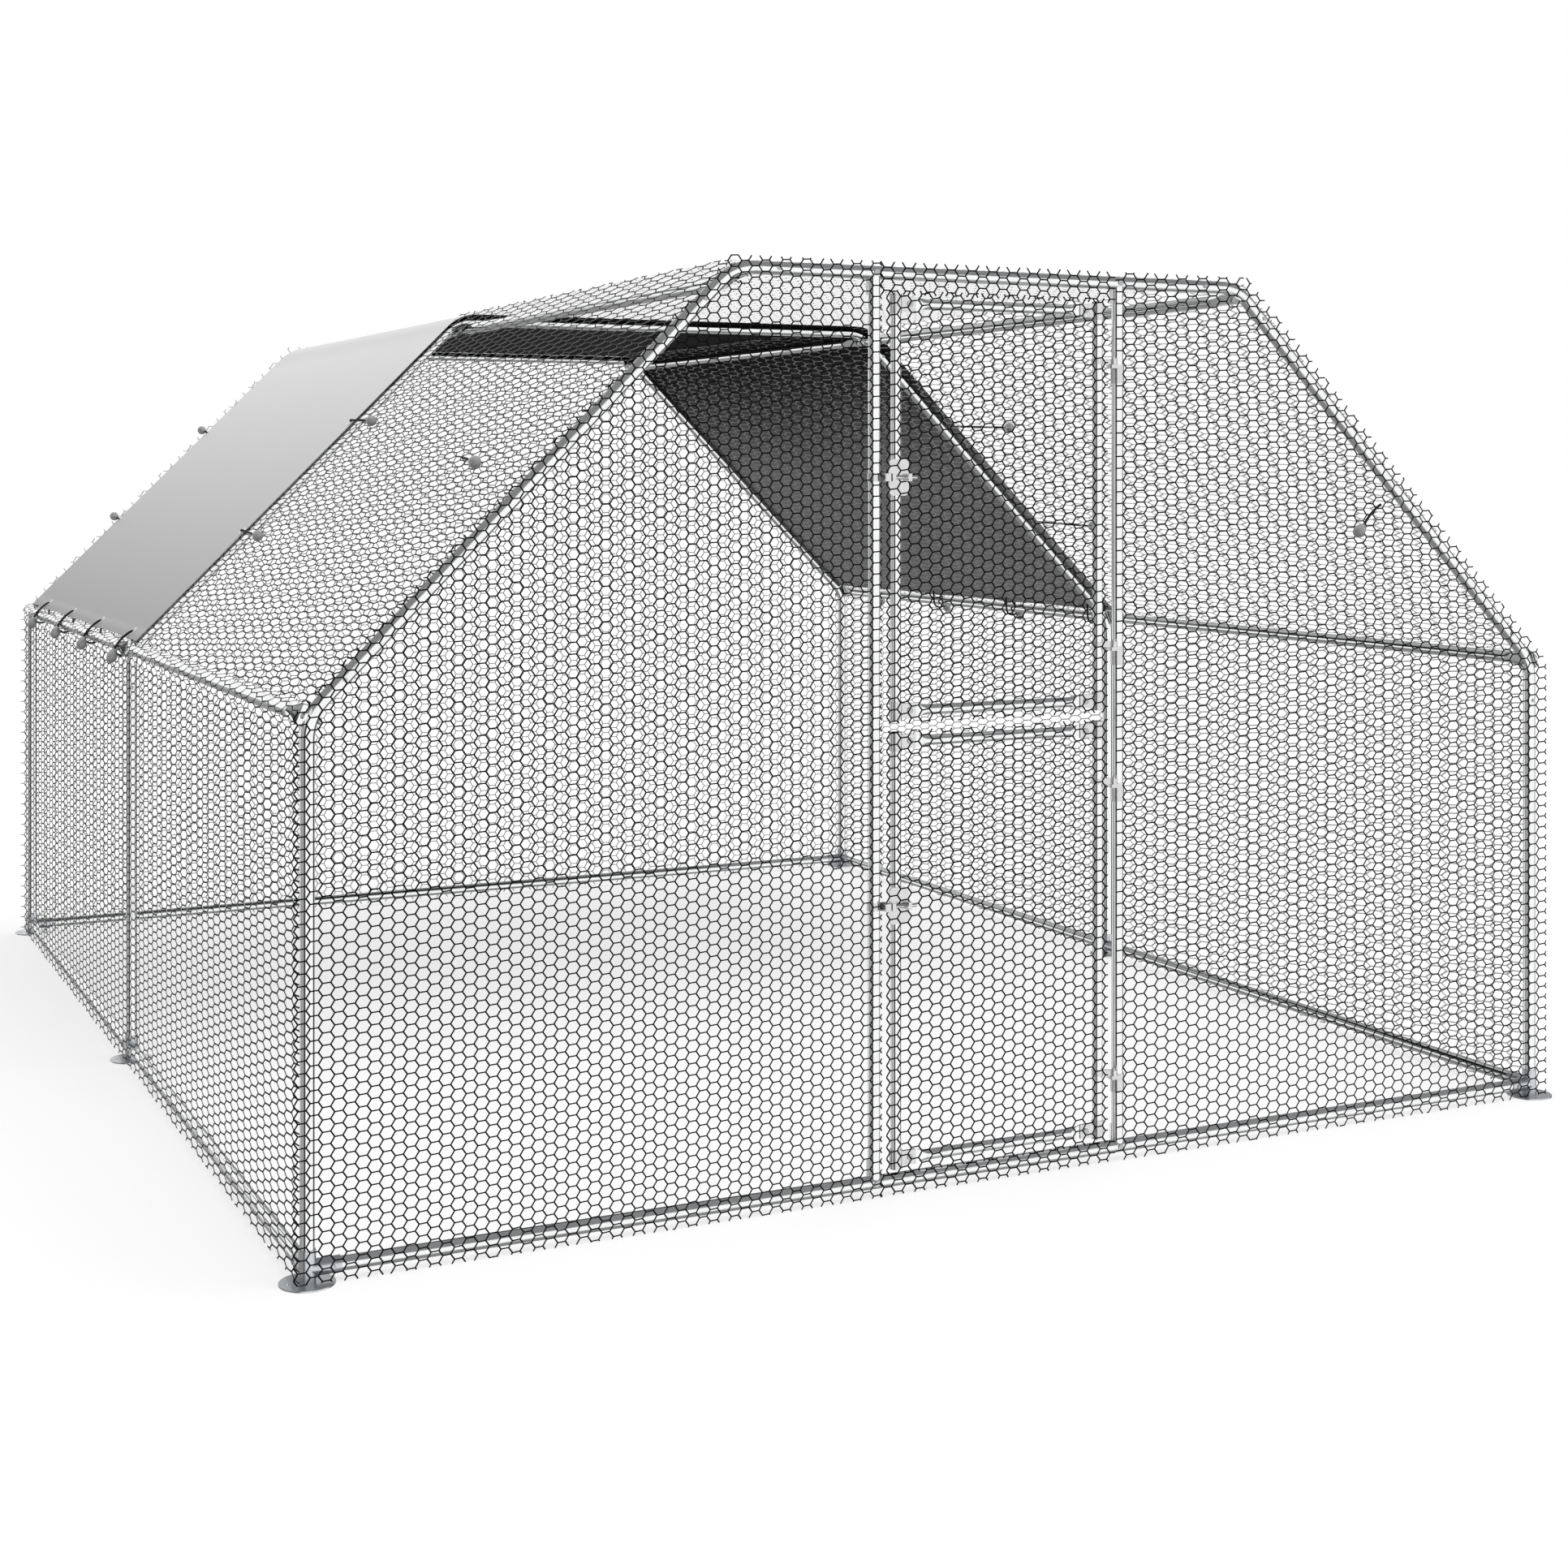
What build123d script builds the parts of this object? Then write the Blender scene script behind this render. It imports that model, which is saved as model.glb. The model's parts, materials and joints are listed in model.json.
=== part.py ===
from build123d import *
from math import acos, atan2, cos, hypot, radians, sin, sqrt, tan
import os

# A walk-in poultry run: three bent tube arches joined by long tubes, clad in wire netting,
# with a tied-down cover over the rear bay and a door of two leaves in the front.
# Millimetres. The origin is on the ground under the middle arch, +Z is up, the door faces -Y.

# Arches
overall_width = 3000.0
bay_length = 1810.0
shoulder_height = 1046.0
ridge_height = 1912.0
roof_pitch = 45.0
tube_diameter = 28.0
tube_wall = 1.2
bend_radius = 100.0
elbow_reach = 75.0
spigot_length = 40.0
spigot_wall = 1.2
spigot_clearance = 0.15

# Feet and bottom tubes
foot_diameter = 105.0
foot_thickness = 3.0
socket_wall = 2.0
socket_clearance = 0.25
socket_height = 60.0
stub_reach = 62.0
stub_wall = 1.6
stub_screw_reach = 46.0
sill_height = 28.0
sill_stop_gap = 1.0
sill_seam_reach = 45.0
peg_hole_diameter = 9.0
peg_hole_reach = 36.0

# Long tubes with pressed ends
tongue_width = 44.0
tongue_thickness = 3.0
tongue_flat = 24.0
flare_length = 55.0
seat_gap = 0.1

# Fasteners
screw_diameter = 4.2
screw_head_diameter = 9.0
screw_head_height = 2.0
screw_setback = 20.0
screw_depth = 6.0
bolt_diameter = 6.0
bolt_head_diameter = 13.0
bolt_head_height = 2.0
bolt_tail = 2.0
nut_width = 10.0
nut_height = 5.0
hole_clearance = 0.2

# Netting, drawn with coarse cells
net_cell = 190.0
net_strand = 4.0
net_thickness = 1.6
net_gap = 0.3
net_overlap = 3.0
net_eave_gap = 1.0
net_ridge_gap = 2.0
smallest_cell_share = 0.04

# Doorway
door_post_spacing = 602.0
door_post_diameter = 25.0
door_post_wall = 1.2
cope_gap = 0.2
post_tab_width = 18.0
post_tab_thickness = 3.0
post_tab_rise = 45.0
post_tab_drop = 11.0
post_net_overlap = 10.0
strip_overlap = 16.0

# Door leaves
leaf_width = 499.0
leaf_tube_diameter = 22.0
leaf_tube_wall = 1.2
leaf_split_height = 970.0
leaf_split_gap = 24.0
leaf_bottom_gap = 8.0
leaf_top_gap = 28.0
clamp_wall = 1.8
clamp_clearance = 0.2
clamp_height = 40.0
clamp_tail_reach = 46.0
clamp_tail_height = 30.0
clamp_tail_wall = 2.0
clamp_bolt_reach = 32.0
rail_tongue_width = 28.0
rail_tongue_flat = 14.0
rail_flare_length = 28.0

# Hinges
hinge_inset = 137.0
hinge_side = 20.5
hinge_forward = 16.0
pin_diameter = 8.0
pin_clearance = 0.08
pin_stand = 16.0
eye_diameter = 16.0
eye_height = 12.0
hinge_gap = 0.3
band_wall = 1.8
band_clearance = 0.2
band_height = 40.0
hinge_lug_height = 8.0
hinge_lug_side = 9.5
hinge_lug_forward = 6.0

# Latches
upper_latch_rise = 506.0
lower_latch_rise = 549.0
latch_plate_width = 46.0
latch_plate_height = 76.0
latch_plate_thickness = 3.0
latch_corner_radius = 10.0
latch_bolt_diameter = 8.0
latch_bolt_clearance = 0.15
latch_bolt_forward = 7.0
latch_guide_width = 8.0
latch_guide_height = 16.0
latch_knob_diameter = 6.0
latch_knob_length = 18.0
latch_tail = 14.0
latch_stop_gap = 2.0
keeper_width = 12.0
keeper_height = 16.0
keeper_wall = 5.0
keeper_clearance = 0.5

# Rear cover and its ties
cover_thickness = 1.0
cover_gap = 0.3
cover_eave_gap = 20.0
cover_front_lap = 47.0
eyelet_diameter = 24.0
eyelet_hole = 12.0
eyelet_thickness = 1.5
eyelet_inset = 23.0
eave_tie_count = 4
eave_tie_first = 83.0
eave_tie_pitch = 490.0
slope_tie_count = 2
slope_tie_reach = 280.0
slope_tie_sink = 20.0
tie_cord_diameter = 6.0
tie_cord_fold = 5.0
tie_gap = 0.3
tie_ball_diameter = 29.0
tie_neck_diameter = 11.0
tie_neck_length = 18.0
tie_drop = 25.0
front_spare_x = 1012.0
front_spare_z = 1398.0
front_spare_cord = 76.0
front_spare_lean = 40.0
roof_spare_y = 1310.0
roof_spare_climb = 610.0
roof_spare_cord = 150.0
roof_spare_lean = 9.0

# Sizes worked out from those above
tube_radius = tube_diameter / 2
tube_bore = tube_diameter - 2 * tube_wall
spigot_diameter = tube_bore - 2 * spigot_clearance
elbow_bore = spigot_diameter - 2 * spigot_wall
socket_bore = tube_diameter + 2 * socket_clearance
socket_radius = socket_bore / 2 + socket_wall
stub_radius = socket_bore / 2 + stub_wall
stub_floor = socket_bore / 2 + socket_wall / 2
sill_inset = stub_floor + sill_stop_gap
post_x = overall_width / 2 - tube_radius
pitch = radians(roof_pitch)
bend_x = post_x - (ridge_height - shoulder_height) / tan(pitch)
sides = {"left": -1, "right": 1}
arches = {"front": -bay_length, "mid": 0.0, "rear": bay_length}
net_stand = socket_radius + screw_head_height + net_gap
net_foot = foot_thickness + net_gap
roof_net_stand = tube_radius + net_gap
door_post_x = door_post_spacing / 2
door_post_radius = door_post_diameter / 2
leaf_x = leaf_width / 2
leaf_tube_radius = leaf_tube_diameter / 2
clamp_radius = leaf_tube_radius + clamp_clearance + clamp_wall
leaf_net_stand = clamp_radius + net_gap
pin_x = door_post_x - hinge_side
pin_y = -bay_length - hinge_forward
latch_bolt_y = -bay_length - leaf_tube_radius - seat_gap - latch_plate_thickness - latch_bolt_forward
lower_leaf_bottom = sill_height + tube_radius + leaf_bottom_gap
lower_leaf_top = leaf_split_height - leaf_split_gap / 2
upper_leaf_bottom = leaf_split_height + leaf_split_gap / 2
upper_leaf_top = ridge_height - tube_radius - leaf_top_gap

bottom_up = (Align.CENTER, Align.CENTER, Align.MIN)
up = Vector(0, 0, 1)
forward = Vector(0, -1, 0)


def save(name, shapes, curved=True):
    """Write one named piece, or a group of alike pieces, to its own file."""
    solids = [solid for shape in shapes for solid in shape.solids()]
    shape = solids[0] if len(solids) == 1 else Compound(solids)
    export_step(shape, f"parts/{name}.step", write_pcurves=curved)


def rod(start, direction, radius, length):
    """Solid round bar that starts at a point and runs along a direction."""
    return Plane(origin=start, z_dir=direction) * Cylinder(radius, length, align=bottom_up)


def pipe(start, end, diameter, bore):
    """Straight tube between two points."""
    start = Vector(start)
    run = Vector(end) - start
    ring = Face(Wire.make_circle(diameter / 2), [Wire.make_circle(bore / 2)])
    return Plane(origin=start, z_dir=run) * extrude(ring, run.length)


def block(low, high):
    """Box between two corners."""
    low = Vector(low)
    size = Vector(high) - low
    corner = (Align.MIN, Align.MIN, Align.MIN)
    return Pos(low.X, low.Y, low.Z) * Box(size.X, size.Y, size.Z, align=corner)


def drill(at, outward):
    """Screw hole from a tube's axis out through its wall."""
    return rod(at, outward, screw_diameter / 2 + hole_clearance, socket_radius + screw_head_height)


def screw(at, outward, seat):
    """Low-headed screw whose head lies on a tube's surface, a seat distance from its axis."""
    head_foot = Vector(at) + Vector(outward) * seat
    head = rod(head_foot, outward, screw_head_diameter / 2, screw_head_height)
    shank = rod(head_foot, -Vector(outward), screw_diameter / 2, screw_depth)
    return head + shank


def bolt(at, outward, head_at, nut_at):
    """Bolt and its nut, at distances from a point along the bolt's axis."""
    at = Vector(at)
    outward = Vector(outward)
    head = rod(at + outward * head_at, outward, bolt_head_diameter / 2, bolt_head_height)
    tail = at + outward * (nut_at - nut_height - bolt_tail)
    shank = rod(tail, outward, bolt_diameter / 2, head_at - nut_at + nut_height + bolt_tail)
    hexagon = RegularPolygon(nut_width / 2, 6, major_radius=False)
    ring = extrude(hexagon - Circle(bolt_diameter / 2 + hole_clearance), nut_height)
    nut = Plane(origin=at + outward * (nut_at - nut_height), z_dir=outward) * ring
    return [head + shank, nut]


def bolt_hole(at, outward):
    """Clearance hole right through a tube, along a bolt's axis."""
    length = 4 * tube_diameter
    start = Vector(at) - Vector(outward) * (length / 2)
    return rod(start, outward, bolt_diameter / 2 + hole_clearance, length)


# Arch geometry, for one side at a time

def shoulder(side, y):
    return Vector(sides[side] * post_x, y, shoulder_height)


def top_bend(side, y):
    return Vector(sides[side] * bend_x, y, ridge_height)


def up_slope(side):
    return Vector(-sides[side] * cos(pitch), 0, sin(pitch))


def slope_normal(side):
    return Vector(sides[side] * sin(pitch), 0, cos(pitch))


def shoulder_normal(side):
    half = (radians(90) - pitch) / 2
    return Vector(sides[side] * cos(half), 0, sin(half))


def top_normal(side):
    return Vector(sides[side] * sin(pitch / 2), 0, cos(pitch / 2))


def bend_cut(half_turn):
    """How far a bend's middle lies inside the corner of its centre lines."""
    return bend_radius * (1 / cos(half_turn) - 1)


shoulder_cut = bend_cut((radians(90) - pitch) / 2)
top_cut = bend_cut(pitch / 2)
slope_length = (shoulder("right", 0) - top_bend("right", 0)).length

# Where the pressed ends seat: outside the shoulder bends, and inside the hollow of the top bends
inner_bend = bend_radius - tube_radius
hollow = inner_bend - sqrt(inner_bend**2 - (tongue_width / 2) ** 2)
nut_hollow = inner_bend - sqrt(inner_bend**2 - nut_width**2 / 3)
eave_seat = tube_radius - shoulder_cut + seat_gap
purlin_seat = tube_radius + top_cut + hollow + seat_gap


def elbow(corner, arrive, leave, bolt_axis):
    """Bent tube round a corner, with a thinner spigot at each end that plugs into a tube."""
    start = corner - arrive * elbow_reach
    end = corner + leave * elbow_reach
    bend = FilletPolyline(start, corner, end, radius=bend_radius)
    body = sweep(Plane(origin=start, z_dir=arrive) * Circle(tube_radius), path=bend)
    body += rod(start, -arrive, spigot_diameter / 2, spigot_length)
    body += rod(end, leave, spigot_diameter / 2, spigot_length)
    mouth = start - arrive * spigot_length
    bore_path = FilletPolyline(mouth, corner, end + leave * spigot_length, radius=bend_radius)
    body -= sweep(Plane(origin=mouth, z_dir=arrive) * Circle(elbow_bore / 2), path=bore_path)
    body -= bolt_hole(corner, bolt_axis)
    body -= drill(start - arrive * screw_setback, forward)
    body -= drill(end + leave * screw_setback, forward)
    return body


def arch_tube(start, end, screws):
    """Straight tube of an arch, drilled where the elbows' screws go."""
    body = pipe(start, end, tube_diameter, tube_bore)
    for at in screws:
        body -= drill(at, forward)
    return body


def build_arch(name):
    """Posts, rafters, top tube and elbows of one arch. Returns its screws."""
    y = arches[name]
    elbows = []
    screws = []
    top_ends = []
    seam_to_screw = elbow_reach + screw_setback
    for side in sides:
        corner = shoulder(side, y)
        bend = top_bend(side, y)
        slope = up_slope(side)
        inward = Vector(-sides[side], 0, 0)
        post_screw = corner - up * seam_to_screw
        low_screw = corner + slope * seam_to_screw
        high_screw = bend - slope * seam_to_screw
        top_screw = bend + inward * seam_to_screw
        foot_point = (corner.X, y, foot_thickness)
        save(f"post_{name}_{side}", [arch_tube(foot_point, corner - up * elbow_reach, [post_screw])])
        rafter_ends = (corner + slope * elbow_reach, bend - slope * elbow_reach)
        save(f"rafter_{name}_{side}", [arch_tube(*rafter_ends, [low_screw, high_screw])])
        elbows.append(elbow(corner, up, slope, shoulder_normal(side)))
        elbows.append(elbow(bend, slope, inward, top_normal(side)))
        screws += [post_screw, low_screw, high_screw, top_screw]
        top_ends.append((bend + inward * elbow_reach, top_screw))
    top = arch_tube(top_ends[0][0], top_ends[1][0], [top_ends[0][1], top_ends[1][1]])
    if name == "front":
        for x in (-door_post_x, door_post_x):
            top -= bolt_hole((x, y, ridge_height), forward)
    save(f"top_tube_{name}", [top])
    save(f"arch_elbows_{name}", elbows)
    return [screw(at, forward, tube_radius) for at in screws]


def foot_stubs(name, side):
    """Directions of a foot's side sockets, each with the way its screw faces."""
    out = Vector(sides[side], 0, 0)
    if name == "mid":
        return [(forward, out), (-forward, out)]
    to_middle = forward if name == "rear" else -forward
    return [(to_middle, out), (-out, -to_middle)]


def build_feet():
    """Round foot plates with a socket for the post and one for each bottom tube."""
    feet = []
    screws = []
    for name, y in arches.items():
        for side, sign in sides.items():
            base = Vector(sign * post_x, y, 0)
            hub = base + up * sill_height
            body = rod(base, up, foot_diameter / 2, foot_thickness)
            body += rod(base, up, socket_radius, foot_thickness + socket_height)
            for direction, _ in foot_stubs(name, side):
                body += rod(hub, direction, stub_radius, stub_reach)
            body -= rod(base + up * foot_thickness, up, socket_bore / 2, socket_height)
            for direction, facing in foot_stubs(name, side):
                body -= rod(hub + direction * stub_floor, direction, socket_bore / 2, stub_reach - stub_floor)
                screw_at = hub + direction * stub_screw_reach
                body -= drill(screw_at, facing)
                screws.append(screw(screw_at, facing, stub_radius))
            peg = base + Vector(sign * peg_hole_reach, 0, 0)
            body -= rod(peg, up, peg_hole_diameter / 2, foot_thickness)
            feet.append(body)
    save("foot_plates", feet)
    return screws


def build_side_sills():
    """Bottom tubes along the walls, one to a bay."""
    sills = []
    for sign in sides.values():
        for start, end in ((-bay_length, 0), (0, bay_length)):
            x = sign * post_x
            near = (x, start + sill_inset, sill_height)
            far = (x, end - sill_inset, sill_height)
            body = pipe(near, far, tube_diameter, tube_bore)
            for y in (start + stub_screw_reach, end - stub_screw_reach):
                body -= drill((x, y, sill_height), (sign, 0, 0))
            sills.append(body)
    save("side_sills", sills)


def build_end_sill(name, y):
    """Bottom tube across the front or the back, in three lengths that plug together."""
    seam = door_post_x + sill_seam_reach
    tip_x = post_x - sill_inset
    facing = forward if y < 0 else -forward
    middle = pipe((-seam, y, sill_height), (seam, y, sill_height), tube_diameter, elbow_bore)
    lengths = []
    for sign in sides.values():
        outer = pipe((sign * seam, y, sill_height), (sign * tip_x, y, sill_height), tube_diameter, tube_bore)
        outer -= drill((sign * (post_x - stub_screw_reach), y, sill_height), facing)
        lengths.append(outer)
        tip = (sign * (seam + spigot_length), y, sill_height)
        middle += pipe((sign * seam, y, sill_height), tip, spigot_diameter, elbow_bore)
        if name == "front":
            middle -= bolt_hole((sign * door_post_x, y, sill_height), forward)
    save(f"{name}_sill_tubes", [*lengths, middle])


def section(points):
    """Four-sided face, round where each pair of neighbouring points has a middle point between."""
    edges = []
    for index, (corner, middle) in enumerate(points):
        following = points[(index + 1) % len(points)][0]
        edges.append(ThreePointArc(corner, middle, following) if middle else Line(corner, following))
    return make_face(edges)


def pressed_end(diameter, width, flat, flare, shift):
    """Tube end pressed into a flat tongue: local Z runs up the tube from the bolt hole."""
    radius = diameter / 2
    side_way = radius * sin(radians(60))
    thin_way = radius * cos(radians(60))
    half = tongue_thickness / 2
    top = flat + flare
    round_points = [
        ((thin_way, -side_way, top), (radius, 0, top)),
        ((thin_way, side_way, top), (0, radius, top)),
        ((-thin_way, side_way, top), (-radius, 0, top)),
        ((-thin_way, -side_way, top), (0, -radius, top)),
    ]
    flat_points = [
        ((shift + half, -width / 2, flat), None),
        ((shift + half, width / 2, flat), None),
        ((shift - half, width / 2, flat), None),
        ((shift - half, -width / 2, flat), None),
    ]
    body = loft([section(flat_points), section(round_points)])
    body += block((shift - half, -width / 2, 0), (shift + half, width / 2, flat))
    body += rod((shift - half, 0, 0), (1, 0, 0), width / 2, tongue_thickness)
    hole_radius = bolt_diameter / 2 + hole_clearance
    return body - rod((shift - half, 0, 0), (1, 0, 0), hole_radius, tongue_thickness)


def pressed_tube(start, end, normal, size, shifts):
    """Tube between two bolt holes with pressed ends, whose flats face along a normal."""
    diameter, bore, width, flat, flare = size
    start = Vector(start)
    end = Vector(end)
    run = end - start
    reach = run.normalized() * (flat + flare)
    body = pipe(start + reach, end - reach, diameter, bore)
    body += Plane(origin=start, x_dir=normal, z_dir=run) * pressed_end(diameter, width, flat, flare, shifts[0])
    body += Plane(origin=end, x_dir=normal, z_dir=-run) * pressed_end(diameter, width, flat, flare, shifts[1])
    return body


long_tube_size = (tube_diameter, tube_bore, tongue_width, tongue_flat, flare_length)
near_shift = -tongue_thickness / 2
far_shift = tongue_thickness / 2


def build_long_tubes():
    """Eave tubes outside the shoulders and purlins under the top bends. Returns their bolts."""
    eaves = []
    purlins = []
    fasteners = []
    for side in sides:
        runs = (
            (eaves, shoulder(side, 0), shoulder_normal(side), eave_seat),
            (purlins, top_bend(side, 0), -top_normal(side), purlin_seat),
        )
        for group, corner, normal, seat in runs:
            axis_at = corner + normal * (seat + tongue_thickness)
            front = axis_at + forward * bay_length
            rear = axis_at - forward * bay_length
            group.append(pressed_tube(front, axis_at, normal, long_tube_size, (near_shift, near_shift)))
            group.append(pressed_tube(axis_at, rear, normal, long_tube_size, (far_shift, near_shift)))
        for name, y in arches.items():
            stack = tongue_thickness * (2 if name == "mid" else 1)
            inside = -(tube_radius + shoulder_cut + nut_hollow + seat_gap)
            fasteners += bolt(shoulder(side, y), shoulder_normal(side), eave_seat + stack, inside)
            outside = tube_radius - top_cut + seat_gap
            fasteners += bolt(top_bend(side, y), top_normal(side), outside, -(purlin_seat + stack))
    save("eave_tubes", eaves)
    save("roof_purlins", purlins)
    return fasteners


def build_door_posts():
    """Upright tubes beside the doorway, coped to the tubes they meet, with a bolted tab at each end."""
    y = -bay_length
    fasteners = []
    tab_back = tube_radius + cope_gap + post_tab_thickness
    for side, sign in sides.items():
        x = sign * door_post_x
        bore = door_post_diameter - 2 * door_post_wall
        body = pipe((x, y, sill_height), (x, y, ridge_height), door_post_diameter, bore)
        for height, low, high in (
            (sill_height, -post_tab_drop, post_tab_rise),
            (ridge_height, -post_tab_rise, post_tab_drop),
        ):
            tab_front = door_post_radius - door_post_wall
            low_corner = (x - post_tab_width / 2, y + tab_front, height + low)
            body += block(low_corner, (x + post_tab_width / 2, y + tab_back, height + high))
            crossing = (x - door_post_diameter, y, height)
            body -= rod(crossing, (1, 0, 0), tube_radius + cope_gap, 2 * door_post_diameter)
            body -= bolt_hole((x, y, height), forward)
            fasteners += bolt((x, y, height), forward, tube_radius, -(tab_back + seat_gap))
        save(f"door_post_{side}", [body])
    return fasteners


# Netting

def clipped(polygon, outline):
    """The part of a polygon that lies inside a convex outline by at least one strand."""
    for (ax, ay), (bx, by) in zip(outline, outline[1:] + outline[:1]):
        length = hypot(bx - ax, by - ay)
        inside = [((bx - ax) * (y - ay) - (by - ay) * (x - ax)) / length - net_strand for x, y in polygon]
        kept = []
        for index, (x, y) in enumerate(polygon):
            following = (index + 1) % len(polygon)
            here, there = inside[index], inside[following]
            if here >= 0:
                kept.append((x, y))
            if (here > 0 > there) or (here < 0 < there):
                share = here / (here - there)
                next_x, next_y = polygon[following]
                kept.append((x + share * (next_x - x), y + share * (next_y - y)))
        polygon = kept
    return polygon


def area(polygon):
    pairs = zip(polygon, polygon[1:] + polygon[:1])
    return sum(ax * by - bx * ay for (ax, ay), (bx, by) in pairs) / 2


def cell_centre(column, row):
    """Centre of one six-sided cell of a net, whose flat sides lie level."""
    return (column * net_cell * sqrt(3) / 2, (row + (column % 2) / 2) * net_cell)


def net_sheet(plane, outline):
    """Net as one holed sheet over a convex outline, on a plane, as thick as its strands."""
    corner_radius = (net_cell - net_strand) / sqrt(3)
    hexagon = [(corner_radius * cos(radians(60 * k)), corner_radius * sin(radians(60 * k))) for k in range(6)]
    reach = max(hypot(x, y) for x, y in outline)
    span = int(reach / (net_cell * sqrt(3) / 2)) + 2
    cells = []
    for column in range(-span, span + 1):
        for row in range(-span, span + 1):
            cx, cy = cell_centre(column, row)
            cell = clipped([(cx + x, cy + y) for x, y in hexagon], outline)
            if len(cell) > 2 and area(cell) > smallest_cell_share * net_cell**2:
                cells.append(Wire.make_polygon([Vector(x, y) for x, y in cell]))
    border = Wire.make_polygon([Vector(x, y) for x, y in outline])
    return plane * extrude(Face(border, cells), net_thickness)


def upright_plane(x, y, outward):
    """Plane of an upright net: local X runs level, local Y runs up, and it thickens outward."""
    return Plane(origin=(x, y, 0), x_dir=up.cross(Vector(outward)), z_dir=outward)


def end_net_half():
    """Outline of half an end net, from the middle of the ridge round to the ground."""
    side_edge = post_x + net_overlap
    half = (radians(90) - pitch) / 2
    shoulder_edge = shoulder_height + net_overlap * tan(half)
    bend_edge = bend_x + net_overlap * tan(pitch / 2)
    ridge_edge = ridge_height + net_overlap
    return side_edge, shoulder_edge, bend_edge, ridge_edge


def build_end_nets():
    """Nets over the front, left open at the doorway, and over the back."""
    side_edge, shoulder_edge, bend_edge, ridge_edge = end_net_half()
    low = net_foot
    door_edge = door_post_x - post_net_overlap
    front = upright_plane(0, -bay_length - net_stand, forward)
    rear = upright_plane(0, bay_length + net_stand, -forward)
    right_half = [
        (door_edge, low),
        (side_edge, low),
        (side_edge, shoulder_edge),
        (bend_edge, ridge_edge),
        (door_edge, ridge_edge),
    ]
    left_half = [(-x, z) for x, z in reversed(right_half)]
    save("front_net_right", [net_sheet(front, right_half)], curved=False)
    save("front_net_left", [net_sheet(front, left_half)], curved=False)
    strip_plane = upright_plane(0, -bay_length - roof_net_stand, forward)
    strip_edge = door_edge - net_ridge_gap
    strips = []
    for bottom, top in (
        (low, sill_height + tube_radius),
        (ridge_height - tube_radius - strip_overlap, ridge_edge),
    ):
        outline = [(-strip_edge, bottom), (strip_edge, bottom), (strip_edge, top), (-strip_edge, top)]
        strips.append(net_sheet(strip_plane, outline))
    save("front_net_strips", strips, curved=False)
    whole = [(-side_edge, low), *right_half[1:4], (-bend_edge, ridge_edge), (-side_edge, shoulder_edge)]
    save("rear_net", [net_sheet(rear, whole)], curved=False)


def build_wall_nets():
    """Nets over the two long walls, up to the eave tubes."""
    half = bay_length + tube_radius
    for side, sign in sides.items():
        out = Vector(sign, 0, 0)
        top = shoulder_height - tongue_width / 2 - net_eave_gap
        outline = [(-half, net_foot), (half, net_foot), (half, top), (-half, top)]
        net = net_sheet(upright_plane(sign * (post_x + net_stand), 0, out), outline)
        save(f"{side}_wall_net", [net], curved=False)


def build_roof_nets():
    """Nets over the two slopes and the flat top."""
    half = bay_length + tube_radius
    miter = roof_net_stand * tan(pitch / 2) - net_ridge_gap
    for side in sides:
        normal = slope_normal(side)
        origin = shoulder(side, 0) + normal * roof_net_stand
        plane = Plane(origin=origin, x_dir=up_slope(side).cross(normal), z_dir=normal)
        low = tongue_width / 2 + net_eave_gap
        high = slope_length + miter
        net = net_sheet(plane, [(-half, low), (half, low), (half, high), (-half, high)])
        save(f"{side}_roof_net", [net], curved=False)
    edge = bend_x + miter
    top_plane = Plane(origin=(0, 0, ridge_height + roof_net_stand), x_dir=(1, 0, 0), z_dir=up)
    top_net = net_sheet(top_plane, [(-edge, -half), (edge, -half), (edge, half), (-edge, half)])
    save("top_roof_net", [top_net], curved=False)


# Rear cover and ties

cover_front = -cover_front_lap
cover_rear = bay_length + tube_radius
cover_under = roof_net_stand + net_thickness + cover_gap
cover_over = cover_under + cover_thickness
cord_height = cover_over + eyelet_thickness + tie_gap + tie_cord_diameter / 2
ball_stand = net_thickness + tie_gap + tie_ball_diameter / 2


def on_slope(side, y, climb, height):
    """Point over a roof slope: a climb up it from the shoulder, and a height off its centre line."""
    return shoulder(side, y) + up_slope(side) * climb + slope_normal(side) * height


def cover_line(height):
    """The cover's folded line across the roof at a height off the tubes' centre lines."""
    points = []
    for side in ("right", "left"):
        low = on_slope(side, 0, cover_eave_gap, height)
        bend = top_bend(side, 0) + top_normal(side) * (height / cos(pitch / 2))
        points += [low, bend] if side == "right" else [bend, low]
    return points


def eyelet_spots():
    """Every eyelet on the cover as its side, its place along the roof and its climb up the slope."""
    low_row = cover_eave_gap + eyelet_inset
    spots = []
    for side in sides:
        for count in range(eave_tie_count):
            spots.append((side, eave_tie_first + count * eave_tie_pitch, low_row))
        for count in range(slope_tie_count):
            climb = slope_length * (count + 1) / (slope_tie_count + 1)
            spots.append((side, cover_front + eyelet_inset, climb))
            spots.append((side, cover_rear - eyelet_inset, climb))
    return spots


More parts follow.
